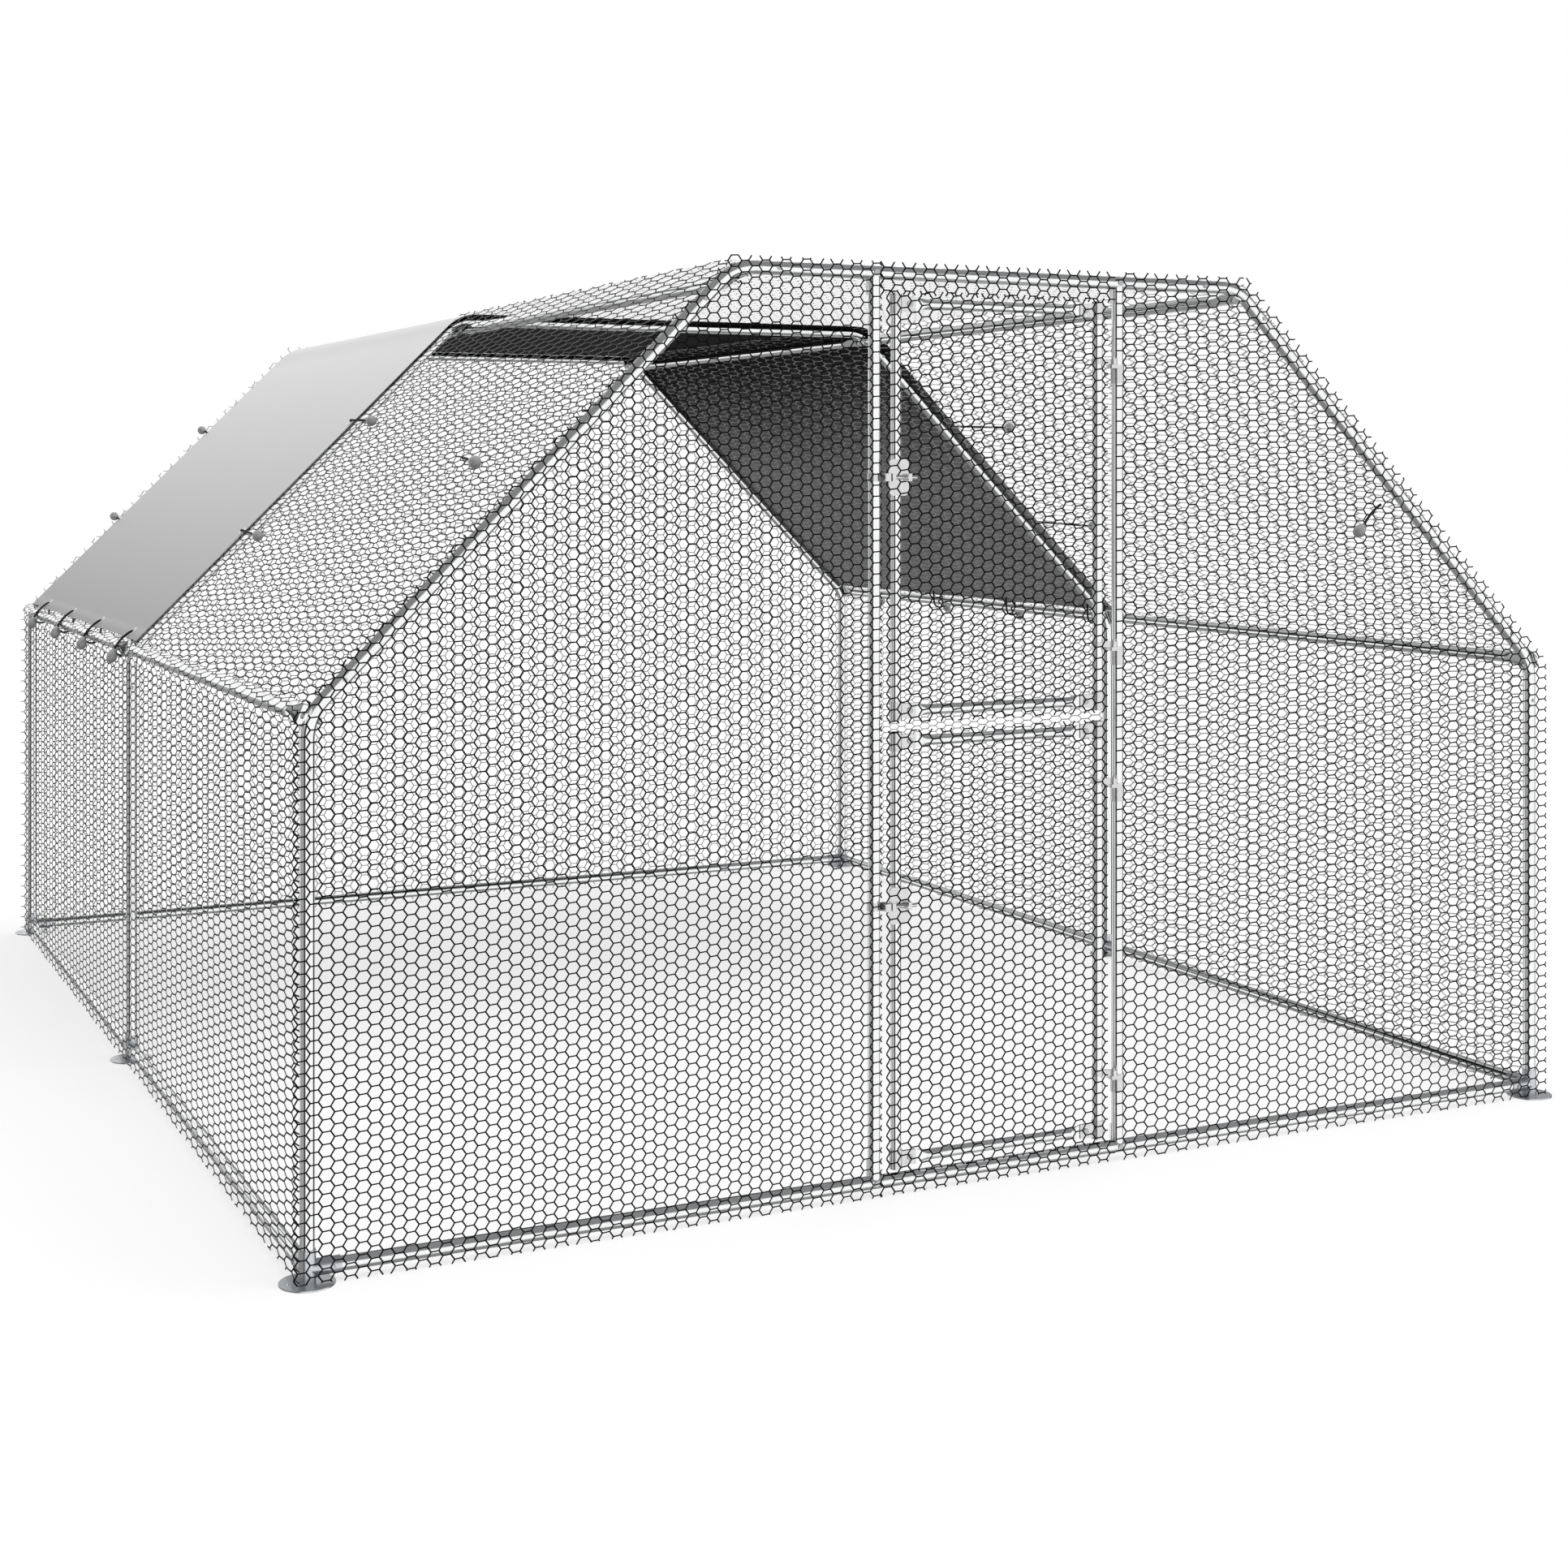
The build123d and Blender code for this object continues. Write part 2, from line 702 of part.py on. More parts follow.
def build_cover():
    """Taut cover over the rear bay, with rolled eyelets along its edges."""
    outline = cover_line(cover_over) + cover_line(cover_under)[::-1]
    start = Vector(0, cover_front, 0)
    face = make_face(Polyline([point + start for point in outline], close=True))
    cover = extrude(face, cover_rear - cover_front, dir=(0, 1, 0))
    eyelets = []
    for side, y, climb in eyelet_spots():
        normal = slope_normal(side)
        seat = on_slope(side, y, climb, cover_over)
        cover -= rod(on_slope(side, y, climb, cover_under), normal, eyelet_hole / 2, cover_thickness)
        ring = rod(seat, normal, eyelet_diameter / 2, eyelet_thickness)
        eyelets.append(ring - rod(seat, normal, eyelet_hole / 2, eyelet_thickness))
    save("rear_cover", [cover])
    save("cover_eyelets", eyelets)


def cord(points, radii):
    """Round cord along straight runs joined by arcs."""
    path = FilletPolyline(*points, radius=radii)
    start = points[0]
    return sweep(Plane(origin=start, z_dir=points[1] - start) * Circle(tie_cord_diameter / 2), path=path)


def tie_ball(centre, away):
    """Drop-shaped ball, turned about its axis: the flat end of its neck meets the cord."""
    neck_end = centre - away * tie_neck_length
    radius = tie_ball_diameter / 2
    slant = radius * sin(radians(45))
    join = (slant, 0, tie_neck_length - slant)
    tip = (0, 0, tie_neck_length + radius)
    neck = Polyline((0, 0, 0), (tie_neck_diameter / 2, 0, 0), join)
    bulb = ThreePointArc(join, (radius, 0, tie_neck_length), tip)
    profile = make_face([*neck.edges(), *bulb.edges(), *Line(tip, (0, 0, 0)).edges()])
    return Plane(origin=neck_end, z_dir=away) * revolve(profile, Axis.Z)


def eave_tie(side, y, climb):
    """Tie from an eyelet over the eave tube to a ball that hangs outside the wall."""
    eave = shoulder(side, y) + shoulder_normal(side) * (eave_seat + tongue_thickness)
    wrap = tube_radius + tie_gap + tie_cord_diameter / 2
    ball = Vector(sides[side] * (post_x + net_stand + ball_stand), y, eave.Z - tie_drop)
    mouth = on_slope(side, y, climb, cover_under)
    crest = on_slope(side, y, climb, cord_height)
    tangents = []
    for point, turn in ((crest, -1), (ball, 1)):
        away = point - eave
        bearing = atan2(away.Z, sides[side] * away.X)
        tangents.append(bearing + turn * acos(wrap / away.length))
    middle = (tangents[0] + tangents[1]) / 2
    reach = wrap / cos((tangents[0] - tangents[1]) / 2)
    corner = eave + Vector(sides[side] * cos(middle), 0, sin(middle)) * reach
    away = (ball - corner).normalized()
    line = cord([mouth, crest, corner, ball - away * tie_neck_length], [tie_cord_fold, wrap])
    return line, tie_ball(ball, away)


def slope_tie(side, y, climb):
    """Tie from an eyelet beside an arch, across the cover's edge, to a ball on the far side.

    At the middle arch the ball lies on the front slope's net. At the rear arch it hangs behind the end net.
    """
    if y < bay_length / 2:
        way = forward
        reach, sink = slope_tie_reach, slope_tie_sink
    else:
        way = -forward
        reach, sink = bay_length + net_stand + ball_stand - y, 0
    mouth = on_slope(side, y, climb, cover_under)
    crest = on_slope(side, y, climb, cord_height)
    rim = crest + way * (eyelet_diameter / 2 + tie_cord_fold)
    ball = on_slope(side, y, climb - sink, roof_net_stand + ball_stand) + way * reach
    away = (ball - rim).normalized()
    line = cord([mouth, crest, rim, ball - away * tie_neck_length], [tie_cord_fold, tie_cord_fold])
    return line, tie_ball(ball, away)


def nearest_strand(across, height):
    """Middle of the level strand nearest to a wanted place on a net."""
    column = round(across / (net_cell * sqrt(3) / 2))
    first = cell_centre(column, 0)[1] + net_cell / 2
    strand_across, centre = cell_centre(column, round((height - first) / net_cell))
    return strand_across, centre + net_cell / 2


def spare_tie(knot, along, outward, length):
    """Loose tie hooked on a strand of net: a cord that ends in a ball lying on the net."""
    hook = knot + outward * (net_thickness + tie_gap + tie_cord_diameter / 2)
    ball = knot + along * (length + tie_neck_length) + outward * ball_stand
    away = (ball - hook).normalized()
    section = Plane(origin=hook, z_dir=away) * Circle(tie_cord_diameter / 2)
    return extrude(section, (ball - hook).length - tie_neck_length), tie_ball(ball, away)


def build_ties():
    """Elastic ties with balls: one to each eyelet, and two spare ones kept on the nets."""
    ties = []
    for side, y, climb in eyelet_spots():
        maker = eave_tie if climb < slope_length / 4 else slope_tie
        ties.append(maker(side, y, climb))
    lean = radians(front_spare_lean)
    strand_z = nearest_strand(front_spare_x, front_spare_z)[1]
    front_knot = Vector(front_spare_x, -bay_length - net_stand, strand_z)
    ties.append(spare_tie(front_knot, Vector(-cos(lean), 0, -sin(lean)), forward, front_spare_cord))
    lean = radians(roof_spare_lean)
    across, climb = nearest_strand(roof_spare_y, roof_spare_climb)
    roof_knot = on_slope("left", -across, climb, roof_net_stand)
    along = forward * cos(lean) - up_slope("left") * sin(lean)
    ties.append(spare_tie(roof_knot, along, slope_normal("left"), roof_spare_cord))
    save("tie_cords", [line for line, _ in ties])
    save("tie_balls", [ball for _, ball in ties])


# Door

def hinge_heights(bottom, top):
    return (bottom + hinge_inset, top - hinge_inset)


def build_pintles():
    """Bands on the right door post, each with a lug and an upright hinge pin."""
    y = -bay_length
    band_bore = door_post_radius + band_clearance
    pintles = []
    for bottom, top in ((lower_leaf_bottom, lower_leaf_top), (upper_leaf_bottom, upper_leaf_top)):
        for height in hinge_heights(bottom, top):
            lug_low = height - hinge_lug_height
            band_low = height - band_height
            body = rod((door_post_x, y, band_low), up, band_bore + band_wall, band_height)
            body += block(
                (pin_x - eye_diameter / 2, pin_y - hinge_lug_forward, lug_low),
                (pin_x + hinge_lug_side, y, height),
            )
            body -= rod((door_post_x, y, band_low), up, band_bore, band_height)
            body += rod((pin_x, pin_y, lug_low), up, pin_diameter / 2, hinge_lug_height + pin_stand)
            pintles.append(body)
    save("hinge_pintles", pintles)


def build_keepers(heights):
    """Bands on the left door post, each with an eye that takes a latch bolt."""
    y = -bay_length
    band_bore = door_post_radius + band_clearance
    keepers = []
    right = -door_post_x + door_post_radius + keeper_width
    for height in heights:
        low = height - keeper_height / 2
        body = rod((-door_post_x, y, low), up, band_bore + band_wall, keeper_height)
        eye_front = latch_bolt_y - latch_bolt_diameter / 2 - keeper_wall
        body += block((right - keeper_width, eye_front, low), (right, y, low + keeper_height))
        body -= rod((-door_post_x, y, low), up, band_bore, keeper_height)
        hole = latch_bolt_diameter / 2 + keeper_clearance
        body -= rod((right - 2 * keeper_width, latch_bolt_y, height), (1, 0, 0), hole, 3 * keeper_width)
        keepers.append(body)
    save("latch_keepers", keepers)


def corner_clamp(x, inward, low):
    """Sleeve round the end of a stile with two cheeks that hold the flat end of a rail."""
    y = -bay_length
    middle = low + clamp_height / 2
    slot = tongue_thickness / 2 + clamp_clearance
    body = rod((x, y, low), up, clamp_radius, clamp_height)
    far = x + inward * clamp_tail_reach
    thick = slot + clamp_tail_wall
    body += block(
        (min(x, far), y - thick, middle - clamp_tail_height / 2),
        (max(x, far), y + thick, middle + clamp_tail_height / 2),
    )
    body -= block((min(x, far), y - slot, low), (max(x, far), y + slot, low + clamp_height))
    body -= rod((x, y, low), up, leaf_tube_radius + clamp_clearance, clamp_height)
    body -= bolt_hole((x + inward * clamp_bolt_reach, y, middle), forward)
    return body


def hinge_eye(height):
    """Ring on a hinge pin, carried by a band round the leaf's stile."""
    y = -bay_length
    low = height + hinge_gap
    band_radius = leaf_tube_radius + band_clearance + band_wall
    body = rod((leaf_x, y, low), up, band_radius, eye_height)
    body += rod((pin_x, pin_y, low), up, eye_diameter / 2, eye_height)
    arm = Vector(pin_x - leaf_x, pin_y - y, 0)
    arm_plane = Plane(origin=(leaf_x, y, low), x_dir=arm, z_dir=up)
    long_box = Box(arm.length, eye_diameter / 2, eye_height, align=(Align.MIN, Align.CENTER, Align.MIN))
    body += arm_plane * long_box
    body -= rod((leaf_x, y, low), up, leaf_tube_radius + band_clearance, eye_height)
    return body - rod((pin_x, pin_y, low), up, pin_diameter / 2 + pin_clearance, eye_height)


def latch_plate(height):
    """Plate on the front of a leaf's stile, with two guides for its bolt."""
    back = -bay_length - leaf_tube_radius - seat_gap
    front = back - latch_plate_thickness
    plate = RectangleRounded(latch_plate_width, latch_plate_height, latch_corner_radius)
    body = Plane(origin=(-leaf_x, back, height), x_dir=(1, 0, 0), z_dir=forward) * extrude(
        plate, latch_plate_thickness
    )
    guide_front = latch_bolt_y - latch_guide_height / 2
    half = latch_plate_width / 2
    for left in (-half, half - latch_guide_width):
        body += block(
            (-leaf_x + left, guide_front, height - latch_guide_height / 2),
            (-leaf_x + left + latch_guide_width, front, height + latch_guide_height / 2),
        )
    hole = latch_bolt_diameter / 2 + latch_bolt_clearance
    return body - rod((-leaf_x - half, latch_bolt_y, height), (1, 0, 0), hole, latch_plate_width)


def latch_bolt(height):
    """Round bolt drawn back in its guides, with a knob to slide it by."""
    half = latch_plate_width / 2
    length = latch_plate_width + latch_tail
    body = rod((-leaf_x - half, latch_bolt_y, height), (1, 0, 0), latch_bolt_diameter / 2, length)
    knob_x = -leaf_x + half - latch_guide_width - latch_stop_gap - latch_knob_diameter / 2
    return body + rod((knob_x, latch_bolt_y, height), forward, latch_knob_diameter / 2, latch_knob_length)


def build_leaf(name, bottom, top, latch_height):
    """One leaf of the door: stiles, rails, corner clamps, net, hinge eyes and latch."""
    y = -bay_length
    bore = leaf_tube_diameter - 2 * leaf_tube_wall
    stiles = [pipe((x, y, bottom), (x, y, top), leaf_tube_diameter, bore) for x in (-leaf_x, leaf_x)]
    rails = []
    clamps = []
    fasteners = []
    rail_size = (leaf_tube_diameter, bore, rail_tongue_width, rail_tongue_flat, rail_flare_length)
    cheek = tongue_thickness / 2 + clamp_clearance + clamp_tail_wall
    for low in (bottom, top - clamp_height):
        height = low + clamp_height / 2
        reach = leaf_x - clamp_bolt_reach
        rails.append(pressed_tube((-reach, y, height), (reach, y, height), forward, rail_size, (0, 0)))
        for sign in sides.values():
            clamps.append(corner_clamp(sign * leaf_x, -sign, low))
            fasteners += bolt((sign * reach, y, height), forward, cheek + seat_gap, -cheek - seat_gap)
    outline = [(-leaf_x, bottom), (leaf_x, bottom), (leaf_x, top), (-leaf_x, top)]
    net = net_sheet(upright_plane(0, y - leaf_net_stand, forward), outline)
    half_width = latch_plate_width / 2 + net_gap
    half_height = latch_plate_height / 2 + net_gap
    net -= block(
        (-leaf_x - half_width, y - 2 * leaf_net_stand, latch_height - half_height),
        (-leaf_x + half_width, y, latch_height + half_height),
    )
    save(f"{name}_leaf_stiles", stiles)
    save(f"{name}_leaf_rails", rails)
    save(f"{name}_leaf_clamps", clamps)
    save(f"{name}_leaf_bolts", fasteners)
    save(f"{name}_leaf_net", [net], curved=False)
    save(f"{name}_leaf_hinge_eyes", [hinge_eye(height) for height in hinge_heights(bottom, top)])
    save(f"{name}_latch_plate", [latch_plate(latch_height)])
    save(f"{name}_latch_bolt", [latch_bolt(latch_height)])


os.makedirs("parts", exist_ok=True)
frame_screws = []
for arch_name in arches:
    frame_screws += build_arch(arch_name)
frame_screws += build_feet()
save("frame_screws", frame_screws)
build_side_sills()
build_end_sill("front", -bay_length)
build_end_sill("rear", bay_length)
frame_bolts = build_long_tubes() + build_door_posts()
save("frame_bolts", frame_bolts)
build_end_nets()
build_wall_nets()
build_roof_nets()
build_cover()
build_ties()
lower_latch = lower_leaf_bottom + lower_latch_rise
upper_latch = upper_leaf_bottom + upper_latch_rise
build_pintles()
build_keepers([lower_latch, upper_latch])
build_leaf("lower", lower_leaf_bottom, lower_leaf_top, lower_latch)
build_leaf("upper", upper_leaf_bottom, upper_leaf_top, upper_latch)
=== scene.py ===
# %% [markdown]
# A walk-in poultry run, dressed for the camera
#
# The solids of this run come from a imported CAD model: tubes, feet, clamps, hinges and latches.
# This lesson keeps those solids where they are, gives them real finishes, and swaps the coarse
# stand-ins for what they stand for: fine wire netting, a taut cloth cover and elastic ties.

# %% Load the frame
import json
import math
from typing import NamedTuple

import bpy
import bmesh
import numpy as np
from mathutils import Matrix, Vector


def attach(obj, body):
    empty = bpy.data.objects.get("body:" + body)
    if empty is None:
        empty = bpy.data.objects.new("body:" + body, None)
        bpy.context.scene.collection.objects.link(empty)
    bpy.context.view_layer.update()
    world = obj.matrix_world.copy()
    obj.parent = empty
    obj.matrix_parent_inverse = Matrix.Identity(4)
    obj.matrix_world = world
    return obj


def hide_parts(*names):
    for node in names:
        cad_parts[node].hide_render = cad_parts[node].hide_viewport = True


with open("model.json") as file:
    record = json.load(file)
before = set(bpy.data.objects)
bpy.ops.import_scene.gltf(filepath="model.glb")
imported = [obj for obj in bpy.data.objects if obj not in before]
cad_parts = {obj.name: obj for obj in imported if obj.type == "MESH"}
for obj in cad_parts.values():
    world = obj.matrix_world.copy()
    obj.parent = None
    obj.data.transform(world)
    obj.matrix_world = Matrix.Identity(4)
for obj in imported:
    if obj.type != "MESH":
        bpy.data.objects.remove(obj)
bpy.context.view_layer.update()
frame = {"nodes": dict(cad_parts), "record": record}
nodes = frame["nodes"]

# %% [markdown]
# The main sizes of the run are repeated here in metres, so that netting and cloth can be laid
# over the tubes. They could be measured on the loaded meshes, but a few plain numbers are easier
# to follow. The origin is on the ground under the middle arch, and the door faces -Y.

# %% Main sizes of the run
post_x = 1.486
bay = 1.81
shoulder_z = 1.046
ridge_z = 1.912
bend_x = 0.62
tube_r = 0.014
roof_pitch = math.radians(45)
slope_length = math.hypot(post_x - bend_x, ridge_z - shoulder_z)
SIDES = {"left": -1.0, "right": 1.0}
print("slope length", round(slope_length, 3), "m")

# %% [markdown]
# The camera stands at eye height and looks a little to the right. It could be tilted down to
# bring the run into the middle of the picture, but then the posts would lean. A level camera with
# a shifted lens keeps them upright.

# %% Camera
view_yaw = math.radians(25.786)
camera_data = bpy.data.cameras.new("camera")
camera_data.sensor_width = 36.0
camera_data.lens = 52.74
camera_data.shift_y = -0.1967
camera_data.clip_end = 200.0
camera = bpy.data.objects.new("camera", camera_data)
camera.location = (-2.5386, -6.0133, 1.4918)
camera.rotation_euler = (math.radians(90), 0.0, -view_yaw)
bpy.context.scene.collection.objects.link(camera)
bpy.context.scene.camera = camera
bpy.context.scene.view_settings.view_transform = "Standard"
print("camera lens", camera_data.lens, "shift", camera_data.shift_y)

# %% [markdown]
# Every shader and every Geometry Nodes tree below is built by script. Nodes, values and links
# could each be written out on a line of their own, but that gets long, so a few helpers shorten
# it. A node's inputs are given by name or by place, and each is either a plain value or another
# node's socket, which is then linked.

# %% Node helpers
def feed(tree, socket, value):
    """Links another socket to an input, or writes a plain value into it."""
    if isinstance(value, bpy.types.NodeSocket):
        tree.links.new(value, socket)
    else:
        socket.default_value = value


def add_node(tree, kind, inputs=None, **settings):
    """A node with its settings made first, because they decide which inputs it has."""
    node = tree.nodes.new(kind)
    for name, value in settings.items():
        setattr(node, name, value)
    for key, value in (inputs or {}).items():
        feed(tree, node.inputs[key], value)
    return node


def math_node(tree, operation, *values):
    return add_node(tree, "ShaderNodeMath", dict(enumerate(values)), operation=operation).outputs[0]


def mix_node(tree, factor, first, second, **settings):
    inputs = {"Factor": factor, "A": first, "B": second}
    return add_node(tree, "ShaderNodeMix", inputs, data_type="RGBA", **settings).outputs["Result"]


def ramp_node(tree, factor, stops):
    """A ramp through stops, each a place and a grey or a colour."""
    node = add_node(tree, "ShaderNodeValToRGB", {"Fac": factor})
    elements = node.color_ramp.elements
    while len(elements) < len(stops):
        elements.new(0.5)
    for element, (place, shade) in zip(elements, stops):
        element.position = place
        element.color = (*shade, 1.0) if isinstance(shade, tuple) else (shade, shade, shade, 1.0)
    return node.outputs["Color"]


# %% [markdown]
# Bright tube is mostly mirror, so its look is the room around it. The room could be built from
# large panels or taken from a picture of a studio. A world shader needs neither, and every wall
# is set by its bearing: a large white wall to the right of the camera, grey walls elsewhere, a
# grey ceiling and ground, and two narrow dark gaps beside the white wall, which draw the dark
# lines that round metal shows. Far behind on the left stand two white windows, one high and one
# low under a dark band, for the tubes that run away from the camera. The camera itself sees plain
# white.

# %% Studio room
world = bpy.data.worlds.new("studio")
world.use_nodes = True
bpy.context.scene.world = world
room = world.node_tree
room.nodes.clear()
toward_camera = (-math.sin(view_yaw), -math.cos(view_yaw), 0.0)
picture_right = (math.cos(view_yaw), -math.sin(view_yaw), 0.0)
look = add_node(room, "ShaderNodeTexCoord").outputs["Generated"]
parts = []
for axis in (picture_right, toward_camera, (0.0, 0.0, 1.0)):
    dot = add_node(room, "ShaderNodeVectorMath", {0: look, 1: axis}, operation="DOT_PRODUCT")
    parts.append(dot.outputs["Value"])
turned = math_node(room, "ARCTAN2", parts[0], parts[1])
bearing = math_node(room, "MULTIPLY_ADD", turned, 1.0 / (2.0 * math.pi), 0.5)
height = math_node(room, "MULTIPLY_ADD", parts[2], 0.5, 0.5)


def bearing_ramp(stops):
    """A ramp round the room, with its stops at bearings from -180 to 180 degrees."""
    return ramp_node(room, bearing, [((degrees + 180.0) / 360.0, shade) for degrees, shade in stops])


walls = bearing_ramp([
    (-180, 0.3), (-100, 0.36), (-42, 0.44), (-37, 0.04), (-17, 0.04), (-10, 1.15),
    (106, 1.15), (113, 0.05), (143, 0.05), (150, 0.7), (180, 0.6),
])
above_or_below = ramp_node(room, height, [(0.08, 1.0), (0.2, 0.0), (0.62, 0.0), (0.72, 1.0)])
room_tone = mix_node(room, above_or_below, walls, (0.26, 0.262, 0.27, 1.0))
soft_edge = 2
for first, last, bands in (
    (-170, -136, [(0.4, 0.3), (0.5, 0.42), (0.52, 1.1), (0.7, 1.1), (0.75, 0.5)]),
    (-134, -110, [(0.34, 0.2), (0.37, 1.1), (0.53, 1.1), (0.55, 0.05), (0.6, 0.05), (0.63, 0.34)]),
):
    window = bearing_ramp([
        (first - soft_edge, 0.0), (first + soft_edge, 1.0),
        (last - soft_edge, 1.0), (last + soft_edge, 0.0),
    ])
    room_tone = mix_node(room, window, room_tone, ramp_node(room, height, bands))
ray = add_node(room, "ShaderNodeLightPath").outputs
room_tone = mix_node(room, ray["Is Diffuse Ray"], room_tone, (0.74, 0.74, 0.75, 1.0))
room_tone = mix_node(room, ray["Is Camera Ray"], room_tone, (1.0, 1.0, 1.0, 1.0))
background = add_node(room, "ShaderNodeBackground", {"Color": room_tone})
add_node(room, "ShaderNodeOutputWorld", {"Surface": background.outputs["Background"]})
print("studio room with", len(room.nodes), "nodes")

# %% [markdown]
# The run stands on a white floor with a faint, soft shadow. One wide sun high on the right throws
# it to the left. An area lamp could do that too, but a sun lights the whole run evenly. The floor
# could be lit until it is white, but that would bleach the run as well. So it is part paint and
# part glow: the glow is for the camera only, which makes open floor white while the shadow stays.

# %% Sun and floor
sun_data = bpy.data.lights.new("soft_sun", "SUN")
sun_data.energy = 1.5
sun_data.angle = math.radians(40)
sun = bpy.data.objects.new("soft_sun", sun_data)
sun.rotation_euler = Vector((-0.38, 0.05, -1.0)).to_track_quat("-Z", "Y").to_euler()
sun.visible_glossy = False
bpy.context.scene.collection.objects.link(sun)

floor_grey, floor_glow = 0.3, 0.705
floor_material = bpy.data.materials.new("pale_floor")
floor_material.use_nodes = True
tree = floor_material.node_tree
tree.nodes.clear()
paint = add_node(tree, "ShaderNodeBsdfDiffuse", {"Color": (floor_grey, floor_grey, floor_grey, 1.0)})
seen = add_node(tree, "ShaderNodeLightPath").outputs["Is Camera Ray"]
glow = add_node(tree, "ShaderNodeEmission", {"Strength": math_node(tree, "MULTIPLY", seen, floor_glow)})
both = add_node(tree, "ShaderNodeAddShader", {0: paint.outputs["BSDF"], 1: glow.outputs["Emission"]})
add_node(tree, "ShaderNodeOutputMaterial", {"Surface": both.outputs["Shader"]})

floor_mesh = bpy.data.meshes.new("floor")
disc = bmesh.new()
bmesh.ops.create_circle(disc, cap_ends=True, segments=96, radius=60.0)
disc.to_mesh(floor_mesh)
disc.free()
floor_mesh.materials.append(floor_material)
floor = bpy.data.objects.new("floor", floor_mesh)
floor.location.z = -0.0005
bpy.context.scene.collection.objects.link(floor)
floor.visible_glossy = False
print("floor laid")

# %% [markdown]
# Tubes, feet and fittings are galvanised steel, which has a faint patchwork of zinc crystals
# under a slow cloud. It could be painted as an image, but a Voronoi pattern in space has no seams
# on round tube. The patchwork is a shader group with named inputs, so tubes, feet and fittings
# share it with their own values.

# %% Zinc patchwork group
def new_tree(name, kind, inputs, outputs):
    """A node group with labelled kinds of sockets, its input sockets and its output sockets."""
    tree = bpy.data.node_groups.new(name, kind)
    for in_out, sockets in (("INPUT", inputs), ("OUTPUT", outputs)):
        for label, socket_kind in sockets.items():
            tree.interface.new_socket(label, in_out=in_out, socket_type="NodeSocket" + socket_kind)
    return tree, add_node(tree, "NodeGroupInput").outputs, add_node(tree, "NodeGroupOutput").inputs


zinc_inputs = {
    "Crystal Scale": "Float",
    "Contrast": "Float",
    "Base Roughness": "Float",
    "Bright": "Color",
    "Dull": "Color",
}
zinc_outputs = {"Color": "Color", "Roughness": "Float", "Height": "Float"}
zinc, zinc_in, zinc_out = new_tree("zinc_patchwork", "ShaderNodeTree", zinc_inputs, zinc_outputs)
place = add_node(zinc, "ShaderNodeTexCoord").outputs["Object"]
crystals = add_node(zinc, "ShaderNodeTexVoronoi", {"Vector": place, "Scale": zinc_in["Crystal Scale"]})
cloud = add_node(zinc, "ShaderNodeTexNoise", {"Vector": place, "Scale": 14.0, "Detail": 5.0})
tone = add_node(zinc, "ShaderNodeSeparateColor", {"Color": crystals.outputs["Color"]})
crystal_share = 0.55
crystal_part = math_node(zinc, "MULTIPLY", tone.outputs["Red"], crystal_share)
cloud_part = math_node(zinc, "MULTIPLY", cloud.outputs["Fac"], 1.0 - crystal_share)
patch = math_node(zinc, "ADD", crystal_part, cloud_part)
rough = math_node(zinc, "MULTIPLY", patch, zinc_in["Contrast"])
feed(zinc, zinc_out["Color"], mix_node(zinc, patch, zinc_in["Dull"], zinc_in["Bright"]))
feed(zinc, zinc_out["Roughness"], math_node(zinc, "ADD", rough, zinc_in["Base Roughness"]))
feed(zinc, zinc_out["Height"], patch)
print("zinc patchwork group made")

# %% [markdown]
# Each metal finish is a Principled shader fed by the zinc group. One finish for all the steel
# would be simpler, but the real pieces differ. Tubes are brightest, feet are a shade bluer,
# pressed fittings are a little softer, and fasteners are darker and duller. The eyelets are
# nearly white. The net wire is nearly black, and a second, lighter copy of it carries painted
# light, for the faces that look into the run.

# %% Metal finishes
def new_material(name):
    material = bpy.data.materials.new(name)
    material.use_nodes = True
    return material, material.node_tree


def feed_surface(tree, inputs, height, bump, bump_depth):
    """Feeds the Principled surface its inputs, and a relief made from a height."""
    relief = add_node(tree, "ShaderNodeBump", {"Strength": bump, "Distance": bump_depth, "Height": height})
    surface = tree.nodes["Principled BSDF"]
    for label, value in {**inputs, "Normal": relief.outputs["Normal"]}.items():
        feed(tree, surface.inputs[label], value)


def metal(name, bright, dull, roughness, crystal, contrast=0.08, metallic=1.0):
    material, tree = new_material(name)
    zinc_values = (crystal, contrast, roughness, (*bright, 1.0), (*dull, 1.0))
    group = add_node(tree, "ShaderNodeGroup", dict(zip(zinc_inputs, zinc_values)), node_tree=zinc).outputs
    inputs = {"Metallic": metallic, "Base Color": group["Color"], "Roughness": group["Roughness"]}
    feed_surface(tree, inputs, group["Height"], bump=0.04, bump_depth=0.0005)
    return material


